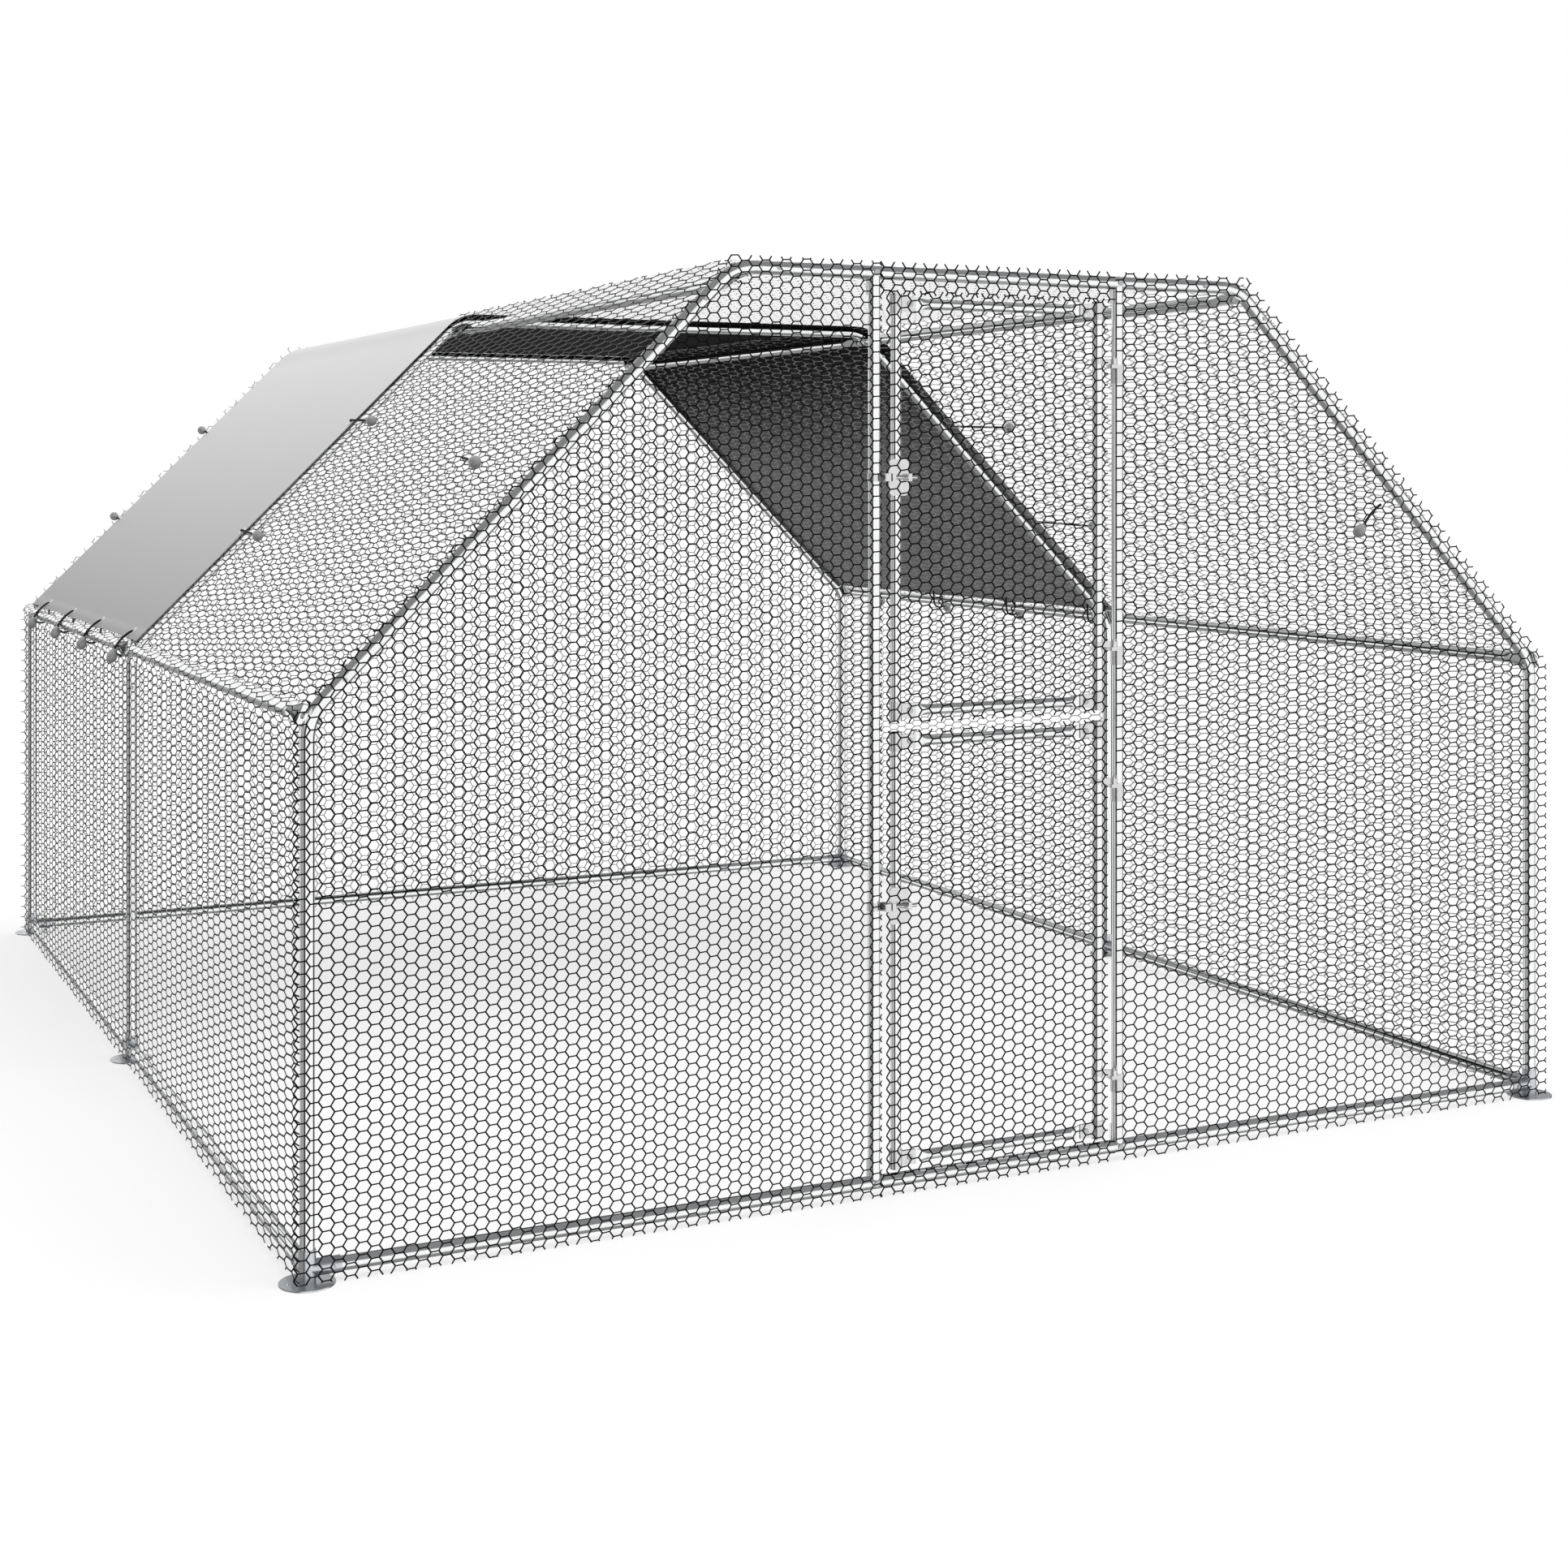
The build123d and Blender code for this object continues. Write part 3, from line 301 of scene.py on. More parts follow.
wire_look = {"roughness": 0.45, "crystal": 220.0, "contrast": 0.15}
net_wire = metal("net_wire", (0.032, 0.033, 0.034), (0.016, 0.016, 0.017), **wire_look)
# painted light: the same wire, made lighter, for the faces that look into the run
net_wire_painted_light = metal("net_wire_painted_light", (0.085, 0.086, 0.088), (0.05, 0.05, 0.051), **wire_look)
eyelet_metal = metal("eyelet_metal", (0.97, 0.97, 0.96), (0.9, 0.9, 0.89), 0.5, 260.0, metallic=0.1)
finish_of_slot = {"net_wire": net_wire, "eyelet_metal": eyelet_metal}
for slot, bright, dull, roughness, crystal, contrast in (
    ("tube_steel", (0.86, 0.87, 0.87), (0.76, 0.77, 0.77), 0.08, 70.0, 0.05),
    ("foot_steel", (0.66, 0.68, 0.7), (0.52, 0.54, 0.56), 0.28, 55.0, 0.08),
    ("fitting_steel", (0.7, 0.7, 0.7), (0.58, 0.58, 0.58), 0.2, 110.0, 0.08),
    ("fastener_zinc", (0.52, 0.53, 0.54), (0.36, 0.37, 0.38), 0.3, 240.0, 0.08),
):
    finish_of_slot[slot] = metal(slot, bright, dull, roughness, crystal, contrast)
print("metal finishes:", list(finish_of_slot))

# %% [markdown]
# The record gives every CAD node a material slot. Finishes could be set node by node, but handing
# them out by slot keeps the list short. The nodes whose slot has no finish yet are the cover, the
# cords and the balls, and finer pieces take their place further on.

# %% Finishes for the CAD nodes
slot_of_node = {row["node"]: row["material_slot"] for row in frame["record"]["subparts"]}
finished = [name for name in nodes if slot_of_node[name] in finish_of_slot]
for name in finished:
    materials = nodes[name].data.materials
    materials.clear()
    materials.append(finish_of_slot[slot_of_node[name]])
print("CAD nodes finished:", len(finished))

# %% [markdown]
# Netting, eyelets and tie balls each repeat one shape. Every copy could be an object of its own,
# but many thousands of objects are slow, so Geometry Nodes grow them all. A tree sets one shape
# on every point, and the points carry what differs from shape to shape as attributes. The result
# becomes a plain mesh.

# %% Growing a mesh on points
def new_geometry_tree(name, *sizes):
    """A tree that takes points, some sizes and a finish, with its sockets."""
    inputs = {"Geometry": "Geometry", **dict.fromkeys(sizes, "Float"), "Finish": "Material"}
    return new_tree(name, "GeometryNodeTree", inputs, {"Geometry": "Geometry"})


def close_tree(tree, instances, tree_in, tree_out):
    """Real geometry, smooth shading and the finish, and then the tree's output."""
    real = add_node(tree, "GeometryNodeRealizeInstances", {"Geometry": instances}).outputs["Geometry"]
    smooth = add_node(tree, "GeometryNodeSetShadeSmooth", {"Geometry": real}).outputs["Geometry"]
    inputs = {"Geometry": smooth, "Material": tree_in["Finish"]}
    feed(tree, tree_out["Geometry"], add_node(tree, "GeometryNodeSetMaterial", inputs).outputs["Geometry"])


def grown_mesh(name, points, attributes, tree, inputs):
    """A plain mesh grown by a tree on points that carry numbers or vectors as attributes."""
    seed_mesh = bpy.data.meshes.new(name + "_points")
    seed_mesh.from_pydata([tuple(p) for p in points], [], [])
    for label, values in attributes.items():
        values = np.asarray(values, np.float32)
        kind, key = ("FLOAT", "value") if values.ndim == 1 else ("FLOAT_VECTOR", "vector")
        seed_mesh.attributes.new(label, kind, "POINT").data.foreach_set(key, values.ravel())
    grower = bpy.data.objects.new(name + "_grower", seed_mesh)
    bpy.context.scene.collection.objects.link(grower)
    modifier = grower.modifiers.new("grow", "NODES")
    modifier.node_group = tree
    for socket in tree.interface.items_tree:
        if socket.name in inputs:
            modifier[socket.identifier] = inputs[socket.name]
    graph = bpy.context.evaluated_depsgraph_get()
    mesh = bpy.data.meshes.new_from_object(grower.evaluated_get(graph))
    grower.modifiers.remove(modifier)
    bpy.data.objects.remove(grower)
    bpy.data.meshes.remove(seed_mesh)
    mesh.name = name
    for layer in [a.name for a in mesh.attributes if a.name in attributes]:
        mesh.attributes.remove(mesh.attributes[layer])
    return mesh


def add_piece(name, data, body, slot, replaces=()):
    piece = bpy.data.objects.new(name, data)
    bpy.context.scene.collection.objects.link(piece)
    piece.visible_glossy = slot != "net_wire"
    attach(piece, body)
    if replaces:
        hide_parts(*replaces)
    return piece


# %% [markdown]
# Hexagonal netting is woven from wires that twist round each neighbour in turn, so every cell has
# two level twisted sides and four slanted plain ones. A picture with clear holes would show the
# pattern, but it has no thickness and no cut ends. There are some thirty thousand cells here, so
# each strand has to be simple: the tree sets one thin three-sided rod on every strand's midpoint,
# and the points carry the strand's turn, run and girth.

# %% Netting tree
def named_attribute(tree, name, kind="FLOAT"):
    node = add_node(tree, "GeometryNodeInputNamedAttribute", {"Name": name}, data_type=kind)
    return node.outputs["Attribute"]


netting, net_in, net_out = new_geometry_tree("netting", "Width", "Depth")
rod_shape = {"Vertices": 3, "Radius": 1.0, "Depth": 1.0}
rod = add_node(netting, "GeometryNodeMeshCylinder", rod_shape, fill_type="NONE")
laid_down = {"Y": math.radians(90), "Z": named_attribute(netting, "turn")}
stretch = {
    "X": net_in["Depth"],
    "Y": math_node(netting, "MULTIPLY", named_attribute(netting, "girth"), net_in["Width"]),
    "Z": named_attribute(netting, "run"),
}
planted = add_node(netting, "GeometryNodeInstanceOnPoints", {
    "Points": net_in["Geometry"],
    "Instance": rod.outputs["Mesh"],
    "Rotation": add_node(netting, "ShaderNodeCombineXYZ", laid_down).outputs["Vector"],
    "Scale": add_node(netting, "ShaderNodeCombineXYZ", stretch).outputs["Vector"],
})
close_tree(netting, planted.outputs["Instances"], net_in, net_out)
print("netting tree with", len(netting.nodes), "nodes")

# %% [markdown]
# Each panel was hung by hand, so its cells are stretched in their own way: a cell's pitch across
# and up the panel, how much its rows climb, how much its columns lean, and how wide and deep the
# flattened wire is. The lattice could be an array cut by a Boolean, which is slow on so many
# strands. Here it is worked out as numbers and clipped to the panel's outline, which leaves real
# cut ends.

# %% Strands of one panel
class Cell(NamedTuple):
    across: float
    up: float
    climb: float = 0.0
    lean: float = 0.0
    width: float = 0.0020
    depth: float = 0.00018


twist_girth = 0.85
shortest_share = 0.08


def lattice(low, high, cell, anchor):
    """Ends and girths of all strands of a lattice that is larger than a box."""
    sway = abs(cell.lean) * (high[1] - low[1] + abs(low[1] - anchor[1]))
    drift = abs(cell.climb) * (high[0] - low[0] + abs(low[0] - anchor[0]) + 2 * sway)
    first = math.floor((low[0] - anchor[0] - sway) / cell.across) - 1
    last = math.ceil((high[0] - anchor[0] + sway) / cell.across) + 1
    bottom = math.floor((low[1] - anchor[1] - drift) / cell.up) - 1
    top = math.ceil((high[1] - anchor[1] + drift) / cell.up) + 1
    column, row = np.meshgrid(np.arange(first, last + 1), np.arange(bottom, top + 1), indexing="ij")
    level = row + (column % 2) / 2
    centre = np.stack([anchor[0] + column * cell.across, anchor[1] + level * cell.up], -1).reshape(-1, 2)
    side_run = cell.across / 1.5
    half, drop = side_run / 2, cell.up / 2
    start = np.concatenate([centre + spot for spot in ((-half, -drop), (half, -drop), (-side_run, 0.0))])
    end = np.concatenate([centre + spot for spot in ((half, -drop), (side_run, 0.0), (-half, -drop))])
    for strand_end in (start, end):
        strand_end[:, 1] += cell.climb * (strand_end[:, 0] - anchor[0])
        strand_end[:, 0] += cell.lean * (strand_end[:, 1] - anchor[1])
    return start, end, np.repeat([twist_girth, 1.0, 1.0], len(centre))


def panel_strands(outline, cell, anchor, skip=None):
    """Strand midpoints, turns, runs and girths, clipped to a convex outline that runs anticlockwise."""
    outline = np.array(outline, float)
    start, end, girth = lattice(outline.min(0), outline.max(0), cell, anchor)
    enter, leave = np.zeros(len(start)), np.ones(len(start))
    for corner, following in zip(outline, np.roll(outline, -1, 0)):
        along = following - corner
        inward = np.array([-along[1], along[0]]) / np.hypot(*along)
        here, there = (start - corner) @ inward, (end - corner) @ inward
        with np.errstate(divide="ignore", invalid="ignore"):
            cross = here / (here - there)
        enter = np.where((here < 0) & (there > 0), np.maximum(enter, cross), enter)
        leave = np.where((here > 0) & (there < 0), np.minimum(leave, cross), leave)
        leave = np.where((here <= 0) & (there <= 0), -1.0, leave)
    keep = leave - enter > shortest_share
    if skip is not None:
        middle = (start + end) / 2
        keep &= ~skip(middle[:, 0], middle[:, 1])
    start, whole = start[keep], (end - start)[keep]
    start, end = start + whole * enter[keep, None], start + whole * leave[keep, None]
    span = end - start
    turn = np.arctan2(span[:, 1], span[:, 0])
    return (start + end) / 2, turn, np.hypot(span[:, 0], span[:, 1]) + cell.width, girth[keep]


# %% [markdown]
# A net could be grown in its place, but a flat lattice is easier to clip, so it is grown flat and
# then bent by a rule. On the real run the far panels look paler than the near ones, which is light
# and not the wire's colour. The faces that look into the run therefore take the lighter copy of
# the wire, which is painted light.

# %% Laying a net
run_middle = (0.0, 0.0, 0.9)


def bend_mesh(mesh, shape_of):
    """Moves every vertex by a rule from panel coordinates to the run's frame."""
    flat = np.empty(len(mesh.vertices) * 3, np.float32)
    mesh.vertices.foreach_get("co", flat)
    moved = shape_of(*flat.reshape(-1, 3).T.astype(float))
    mesh.vertices.foreach_set("co", np.column_stack(moved).astype(np.float32).ravel())
    mesh.update()


def paint_light_on_inner_faces(mesh):
    """Gives the faces that look into the run the lighter wire finish, which is painted light."""
    normals = np.empty(len(mesh.polygons) * 3, np.float32)
    centres = np.empty(len(mesh.polygons) * 3, np.float32)
    mesh.polygons.foreach_get("normal", normals)
    mesh.polygons.foreach_get("center", centres)
    inward = np.array(run_middle) - centres.reshape(-1, 3)
    looks_in = (normals.reshape(-1, 3) * inward).sum(1) > 0
    mesh.materials.append(net_wire_painted_light)
    mesh.polygons.foreach_set("material_index", looks_in.astype(np.int32))


def lay_net(name, outlines, cell, anchor, shape_of, stands_for, flip=False, body="frame", skip=None):
    """A piece of netting over one or more outlines, flipped if its rule mirrors the panel."""
    strands = [panel_strands(outline, cell, anchor, skip) for outline in outlines]
    middle, turn, run, girth = (np.concatenate(values) for values in zip(*strands))
    flat = np.column_stack([middle, np.zeros(len(middle))])
    inputs = {"Width": cell.width, "Depth": cell.depth, "Finish": net_wire}
    mesh = grown_mesh(name, flat, {"turn": turn, "run": run, "girth": girth}, netting, inputs)
    bend_mesh(mesh, shape_of)
    if flip:
        mesh.flip_normals()
    paint_light_on_inner_faces(mesh)
    add_piece(name, mesh, body, "net_wire", [stands_for])
    print(name, len(mesh.polygons) * 2, "triangles")


def rectangle(left, right, bottom, top):
    return [(left, bottom), (right, bottom), (right, top), (left, top)]


def upright_at(y):
    """A rule that stands a flat panel upright at a depth, with its face to the front."""
    return lambda u, v, w: (u, y - w, v)


# %% [markdown]
# The end nets lie in front of the front arch and behind the rear one. Their cut edges stand a
# little proud of the tubes all round. The doorway is left open in the front net, with strips over
# the top tube and the sill. One sheet with a hole would do too, but the clipping takes only
# convex outlines, so the front is made of convex parts. The right net leaves the hinges of the
# leaves clear.

# %% Front and rear nets
net_stand = 0.0194
strip_stand = 0.0158
net_left, net_right, rear_half = -1.516, 1.521, 1.518
net_bottom, net_top = 0.002, 1.934
sill_strip_top, top_strip_bottom = 0.046, 1.868
slope_proud = 0.026
left_cell = Cell(0.0230, 0.0229, climb=0.06, width=0.0018)
right_cell = Cell(0.0276, 0.0256, climb=0.05)
door_cell = Cell(0.0253, 0.0241)
rear_cell = Cell(0.0310, 0.0335, width=0.0019)
front_anchor = (-1.0867, 0.658)
rear_anchor = (0.0, 0.0167)
door_left, door_right = -0.2935, 0.2845
leaf_hinge_x = 0.2805
hinge_middles = (0.181, 0.815, 1.113, 1.727)
hinge_half_width, hinge_half_height = 0.018, 0.03


def slope_cut(x):
    """Height of the cut edge over the slope at a place across the run."""
    return post_x + shoulder_z + slope_proud * math.sqrt(2) - abs(x)


def end_outline(left, right):
    """A part of the run's end between two places, which may reach past the bends."""
    top_right = [(right, net_top)]
    if right > bend_x:
        top_right = [(right, slope_cut(right)), (slope_cut(net_top), net_top)]
    top_left = [(left, net_top)]
    if left < -bend_x:
        top_left = [(-slope_cut(net_top), net_top), (left, slope_cut(left))]
    return [(left, net_bottom), (right, net_bottom), *top_right, *top_left]


def at_a_hinge(x, z):
    at_height = [np.abs(z - middle) < hinge_half_height for middle in hinge_middles]
    return (np.abs(x - leaf_hinge_x) < hinge_half_width) & np.any(at_height, 0)


on_front = upright_at(-bay - net_stand)
lay_net(
    "front_net_left_wire", [end_outline(net_left, door_left)],
    left_cell, front_anchor, on_front, "front_net_left", flip=True,
)
lay_net(
    "front_net_right_wire", [end_outline(door_right, net_right)],
    right_cell, front_anchor, on_front, "front_net_right", flip=True, skip=at_a_hinge,
)
strip_outlines = [
    rectangle(door_left, door_right, net_bottom, sill_strip_top),
    rectangle(door_left, door_right, top_strip_bottom, net_top),
]
lay_net(
    "front_net_strips_wire", strip_outlines,
    door_cell, front_anchor, upright_at(-bay - strip_stand), "front_net_strips", flip=True,
)
lay_net(
    "rear_net_wire", [end_outline(-rear_half, rear_half)],
    rear_cell, rear_anchor, lambda u, v, w: (u, bay + net_stand + w, v), "rear_net",
)

# %% [markdown]
# On each long side netting runs up the wall, bends over the eave tube in a strip of thinner wire
# and goes on up the slope. On the open bay its cut edge stands just past the ridge. Under the
# cover it follows the ridge's bend, so that no cut end pokes through the cloth. A Curve modifier
# could bend the net, but a rule of our own keeps its distance from the tubes exact. Each piece is
# clipped flat and then wrapped round a line of straight runs joined by short curves.

# %% Line of the side nets
wall_x = post_x + net_stand
eave_z = 1.0494
eave_out = 0.00819
eave_net_r = 0.0172
eave_bend_drop = 0.03
eave_bend_end = 0.02
slope_stand = 0.0148
slope_past_ridge = 0.008
slope_reach = slope_length + slope_past_ridge
ridge_bend_r = 0.114
arc_points, bend_points = 7, 11


def ridge_arc():
    """Points of the round bend from the right slope to the flat top."""
    tangent = math.tan(roof_pitch / 2)
    corner = np.array([bend_x + slope_stand * tangent, ridge_z + slope_stand])
    centre = corner - ridge_bend_r * np.array([tangent, 1.0])
    angles = np.linspace(roof_pitch, 0.0, arc_points)
    return centre + ridge_bend_r * np.column_stack([np.sin(angles), np.cos(angles)])


def side_line(sign, covered):
    """Wall, eave bend and slope as one line of points across the run, rounded at the top if covered."""
    up_slope, off_slope = np.array([[-1.0, 1.0], [1.0, 1.0]]) / math.sqrt(2)
    off_tube = np.array([math.cos(roof_pitch / 2), math.sin(roof_pitch / 2)])
    base = np.array([wall_x, 0.0])
    bend_start = np.array([wall_x, eave_z - eave_bend_drop])
    crown = np.array([post_x + eave_out, eave_z]) + eave_net_r * off_tube
    slope_start = np.array([post_x, shoulder_z]) + eave_bend_end * up_slope + slope_stand * off_slope
    pull = 2 * crown - (bend_start + slope_start) / 2
    share = np.linspace(0.0, 1.0, bend_points + 2)[1:-1, None]
    bend = (1 - share) ** 2 * bend_start + 2 * share * (1 - share) * pull + share ** 2 * slope_start
    end = ridge_arc() if covered else [slope_start + slope_reach * up_slope]
    points = np.array([base, bend_start, *bend, slope_start, *end])
    points[:, 0] *= sign
    return points


def wrap_round(points, sign):
    """A rule that wraps a flat panel round a line, and the line's reach at every point."""
    steps = np.diff(points, axis=0)
    lengths = np.hypot(steps[:, 0], steps[:, 1])
    reach = np.concatenate([[0.0], np.cumsum(lengths)])
    normals = np.column_stack([steps[:, 1], -steps[:, 0]]) / lengths[:, None] * sign
    corner_normals = np.vstack([normals[:1], normals[:-1] + normals[1:], normals[-1:]])
    corner_normals /= np.hypot(corner_normals[:, 0], corner_normals[:, 1])[:, None]

    def shape_of(u, v, w):
        x = np.interp(v, reach, points[:, 0]) + w * np.interp(v, reach, corner_normals[:, 0])
        z = np.interp(v, reach, points[:, 1]) + w * np.interp(v, reach, corner_normals[:, 1])
        return x, u, z

    return shape_of, reach


print("side line with", len(side_line(1.0, False)), "points")

# %% [markdown]
# The side nets are pulled long, with rows that climb and, on the slopes, columns that lean. One
# piece could carry a whole side, but its cells change from part to part, so wall, eave strip and
# slope are pieces with a cell of their own. The eave strip keeps the wall's lattice and runs on
# from it.

# %% Side nets
wall_end = bay + 0.0185
right_wall_start = 0.004 - bay
wall_along = {"left": (-wall_end, wall_end), "right": (right_wall_start, wall_end)}
slope_end_y = bay + 0.008
cover_low_y, cover_high_y = -0.047, bay + tube_r
open_along, covered_along = (-slope_end_y, cover_low_y), (cover_low_y, slope_end_y)
wall_cell = Cell(0.0578, 0.0211, climb=-0.11, width=0.0025, depth=0.0012)
eave_cell = wall_cell._replace(width=0.0021, depth=0.0006)
slope_cell = Cell(0.0660, 0.0195, climb=0.05, lean=-0.6, width=0.0023, depth=0.0010)
side_anchor = (-bay, 0.0167)
for side, sign in SIDES.items():
    open_shape, reach = wrap_round(side_line(sign, False), sign)
    covered_shape, covered_reach = wrap_round(side_line(sign, True), sign)
    bend_low, bend_high = reach[1], reach[-2]
    open_top, covered_top = bend_high + slope_reach - eave_bend_end, covered_reach[-1]
    for label, stands_for, along, low, high, cell, shape_of in (
        ("wall_net_wire", "wall_net", wall_along[side], net_bottom, bend_low, wall_cell, open_shape),
        ("eave_net_wire", "wall_net", wall_along[side], bend_low, bend_high, eave_cell, open_shape),
        ("roof_net_wire_front", "roof_net", open_along, bend_high, open_top, slope_cell, open_shape),
        ("roof_net_wire_rear", "roof_net", covered_along, bend_high, covered_top, slope_cell, covered_shape),
    ):
        lay_net(
            f"{side}_{label}", [rectangle(*along, low, high)],
            cell, side_anchor, shape_of, f"{side}_{stands_for}", flip=sign > 0,
        )

# %% [markdown]
# The top net closes the flat roof between the two ridges. One piece would do for a roof without a
# cover. Here there are two: the open one reaches just past the ridges, and the one under the
# cover ends on the bends of the side nets, so that nothing stands up into the cloth.

# %% Top net
top_cell = Cell(0.0640, 0.0242, width=0.0012)
top_anchor = (-bay, 0.0)
top_z = ridge_z + slope_stand
open_half = bend_x + 0.004
covered_half = bend_x - ridge_bend_r * math.tan(roof_pitch / 2) + 0.006
for label, along, half in (("front", open_along, open_half), ("rear", covered_along, covered_half)):
    lay_net(
        f"top_roof_net_wire_{label}", [rectangle(*along, -half, half)],
        top_cell, top_anchor, lambda u, v, w: (-v, u, top_z + w), "top_roof_net",
    )

# %% [markdown]
# Each door leaf has its own net. It could be a part of the front net, but the leaves swing, so it
# is a piece that rides on the leaf. It passes in front of the stiles and the corner clamps, and
# its cut ends stand just past the leaf's edges.

# %% Leaf nets
leaf_stand = 0.0141
leaf_left, leaf_right = -0.2785, 0.2662
leaf_anchor = (-0.2623, 0.03)
for leaf, low, high, climb in (("lower", 0.043, 0.962, 0.075), ("upper", 0.978, 1.876, 0.13)):
    lay_net(
        f"{leaf}_leaf_net_wire", [rectangle(leaf_left, leaf_right, low, high)],
        door_cell._replace(climb=climb), leaf_anchor, upright_at(-bay - leaf_stand),
        f"{leaf}_leaf_net", flip=True, body=f"{leaf}_leaf",
    )

# %% [markdown]
# The cover is one rectangle of coated cloth over the rear bay, pulled tight from eave to eave. It
# is silver outside and black inside. A cloth simulation could drape it, but a tight cover hardly
# moves, and a grid gives the same shape on every run. The grid follows the roof's line, rounded
# where the cloth goes over the two top bends, with a slight sag between the arches and a shallow
# scallop between the eyelets, where the pull is strongest. It has an outer and an inner face, one
# millimetre apart.

# %% Cover line across the roof
cover_height = 0.0167
cover_eave_gap = 0.020
cover_bend_r = 0.116
slope_steps, bend_steps, flat_steps = 36, 8, 28


def on_slope(sign, y, climb, height):
    """Point over a roof slope: a climb up it from the shoulder, and a height off its centre line."""
    share = math.sqrt(0.5)
    return Vector((
        sign * (post_x - climb * share + height * share),
        y,
        shoulder_z + climb * share + height * share,
    ))


def slope_normal(sign):
    return Vector((sign * math.sqrt(0.5), 0.0, math.sqrt(0.5)))


def cover_line():
    """Points and normals across the roof from the right eave to the left one."""
    setback = cover_bend_r * math.tan(roof_pitch / 2)
    low = on_slope(1.0, 0.0, cover_eave_gap, cover_height)
    corner_x = bend_x + cover_height * math.tan(roof_pitch / 2)
    corner = Vector((corner_x, 0.0, ridge_z + cover_height))
    bend_start = corner + (low - corner).normalized() * setback
    centre = corner + Vector((-setback, 0.0, -cover_bend_r))
    right = []
    for share in np.linspace(0.0, 1.0, slope_steps + 1)[:-1]:
        right.append((low.lerp(bend_start, share), slope_normal(1.0)))
    for share in np.linspace(0.0, 1.0, bend_steps + 1):
        angle = roof_pitch * (1.0 - share)
        normal = Vector((math.sin(angle), 0.0, math.cos(angle)))
        right.append((centre + normal * cover_bend_r, normal))
    flat_half = corner_x - setback
    flat = []
    for share in np.linspace(0.0, 1.0, flat_steps + 1)[1:-1]:
        flat.append((Vector((flat_half * (1 - 2 * share), 0.0, corner.z)), Vector((0.0, 0.0, 1.0))))
    left = [(Vector((-p.x, p.y, p.z)), Vector((-n.x, n.y, n.z))) for p, n in reversed(right)]
    return right + flat + left


line = cover_line()
reach = [0.0]
for (before, _), (after, _) in zip(line, line[1:]):
    reach.append(reach[-1] + (after - before).length)
cover_run = reach[-1]
print("cover run over the roof", round(cover_run, 3), "m")

# %% [markdown]
# Every point of the line becomes a row of the grid. Sag, scallop and a faint ripple could be
# sculpted by hand, but as sums with named amounts they are easy to change and come out the same
# each time. The ripple's start is random, with a fixed seed.

# %% Points of the cloth
cover_thickness = 0.001
first_tie_y, tie_gap = 0.083, 0.49
eave_tie_ys = [first_tie_y + tie_gap * count for count in range(4)]
past_corner = 0.03
held_ys = [*eave_tie_ys, cover_low_y - past_corner, cover_high_y + past_corner]
cover_scallop, scallop_width, hem_width = 0.003, 0.12, 0.05
cover_sag, sag_from_edge = 0.0003, 0.6
cover_ripple, ripples_along, ripples_across, ripple_slant = 0.0003, 9, 7, 5
rows, columns = len(line), 97
ys = np.linspace(cover_low_y, cover_high_y, columns)


def scallop(y):
    """How far the eave edge draws back between eyelets."""
    gap = min(abs(y - spot) for spot in held_ys)
    return cover_scallop * (1 - math.exp(-((gap / scallop_width) ** 2)))


cloth = bmesh.new()
uv_layer = cloth.loops.layers.uv.new("cloth")
outer, inner = {}, {}
wave = np.random.default_rng(7).uniform(0, 2 * math.pi, 2)
for i, (point, normal) in enumerate(line):
    from_edge = min(reach[i], cover_run - reach[i])
    toward_eave = math.exp(-((from_edge / hem_width) ** 2))
    slack = cover_sag * math.sin(math.pi * min(1.0, from_edge / sag_from_edge) / 2)
    across = cover_ripple * math.sin(ripples_across * reach[i] + wave[1])
    along = line[max(i, 1)][0] - line[max(i, 1) - 1][0]
    inward = along.normalized() * (1 if i < rows / 2 else -1)
    for j, y in enumerate(ys):
        sag = slack * math.sin(math.pi * (y - cover_low_y) / (cover_high_y - cover_low_y))
        ripple = across * math.sin(ripples_along * y + wave[0] + ripple_slant * reach[i])
        place = point + Vector((0.0, y, 0.0)) + normal * (ripple - sag)
        place += inward * scallop(y) * toward_eave
        outer[i, j] = cloth.verts.new(place)
        inner[i, j] = cloth.verts.new(place - normal * cover_thickness)
print("cloth points:", len(outer), "on each face")

# %% [markdown]
# The outer face, the inner face and the rim close the cloth all round. A Solidify modifier could
# add the second face, but made one by one each face gets its finish and its UV in metres at once.

# %% Faces of the cloth
def cloth_face(corners, keys, material_index, smooth=True):
    face = cloth.faces.new(corners)
    face.material_index = material_index
    face.smooth = smooth
    for loop, (i, j) in zip(face.loops, keys):
        loop[uv_layer].uv = (ys[j], reach[i])


for i in range(rows - 1):
    for j in range(columns - 1):
        keys = [(i, j), (i + 1, j), (i + 1, j + 1), (i, j + 1)]
        cloth_face([outer[k] for k in keys], keys, 0)
        cloth_face([inner[k] for k in keys[::-1]], keys[::-1], 1)
rim = [(i, 0) for i in range(rows)] + [(rows - 1, j) for j in range(1, columns)]
rim += [(i, columns - 1) for i in range(rows - 2, -1, -1)] + [(0, j) for j in range(columns - 2, 0, -1)]
for here, there in zip(rim, rim[1:] + rim[:1]):
    corners = [outer[here], inner[here], inner[there], outer[there]]
    cloth_face(corners, [here, here, there, there], 1, smooth=False)
bmesh.ops.recalc_face_normals(cloth, faces=cloth.faces)
cover_mesh = bpy.data.meshes.new("rear_cover_cloth")
cloth.to_mesh(cover_mesh)
cloth.free()
print("cover faces:", len(cover_mesh.polygons))
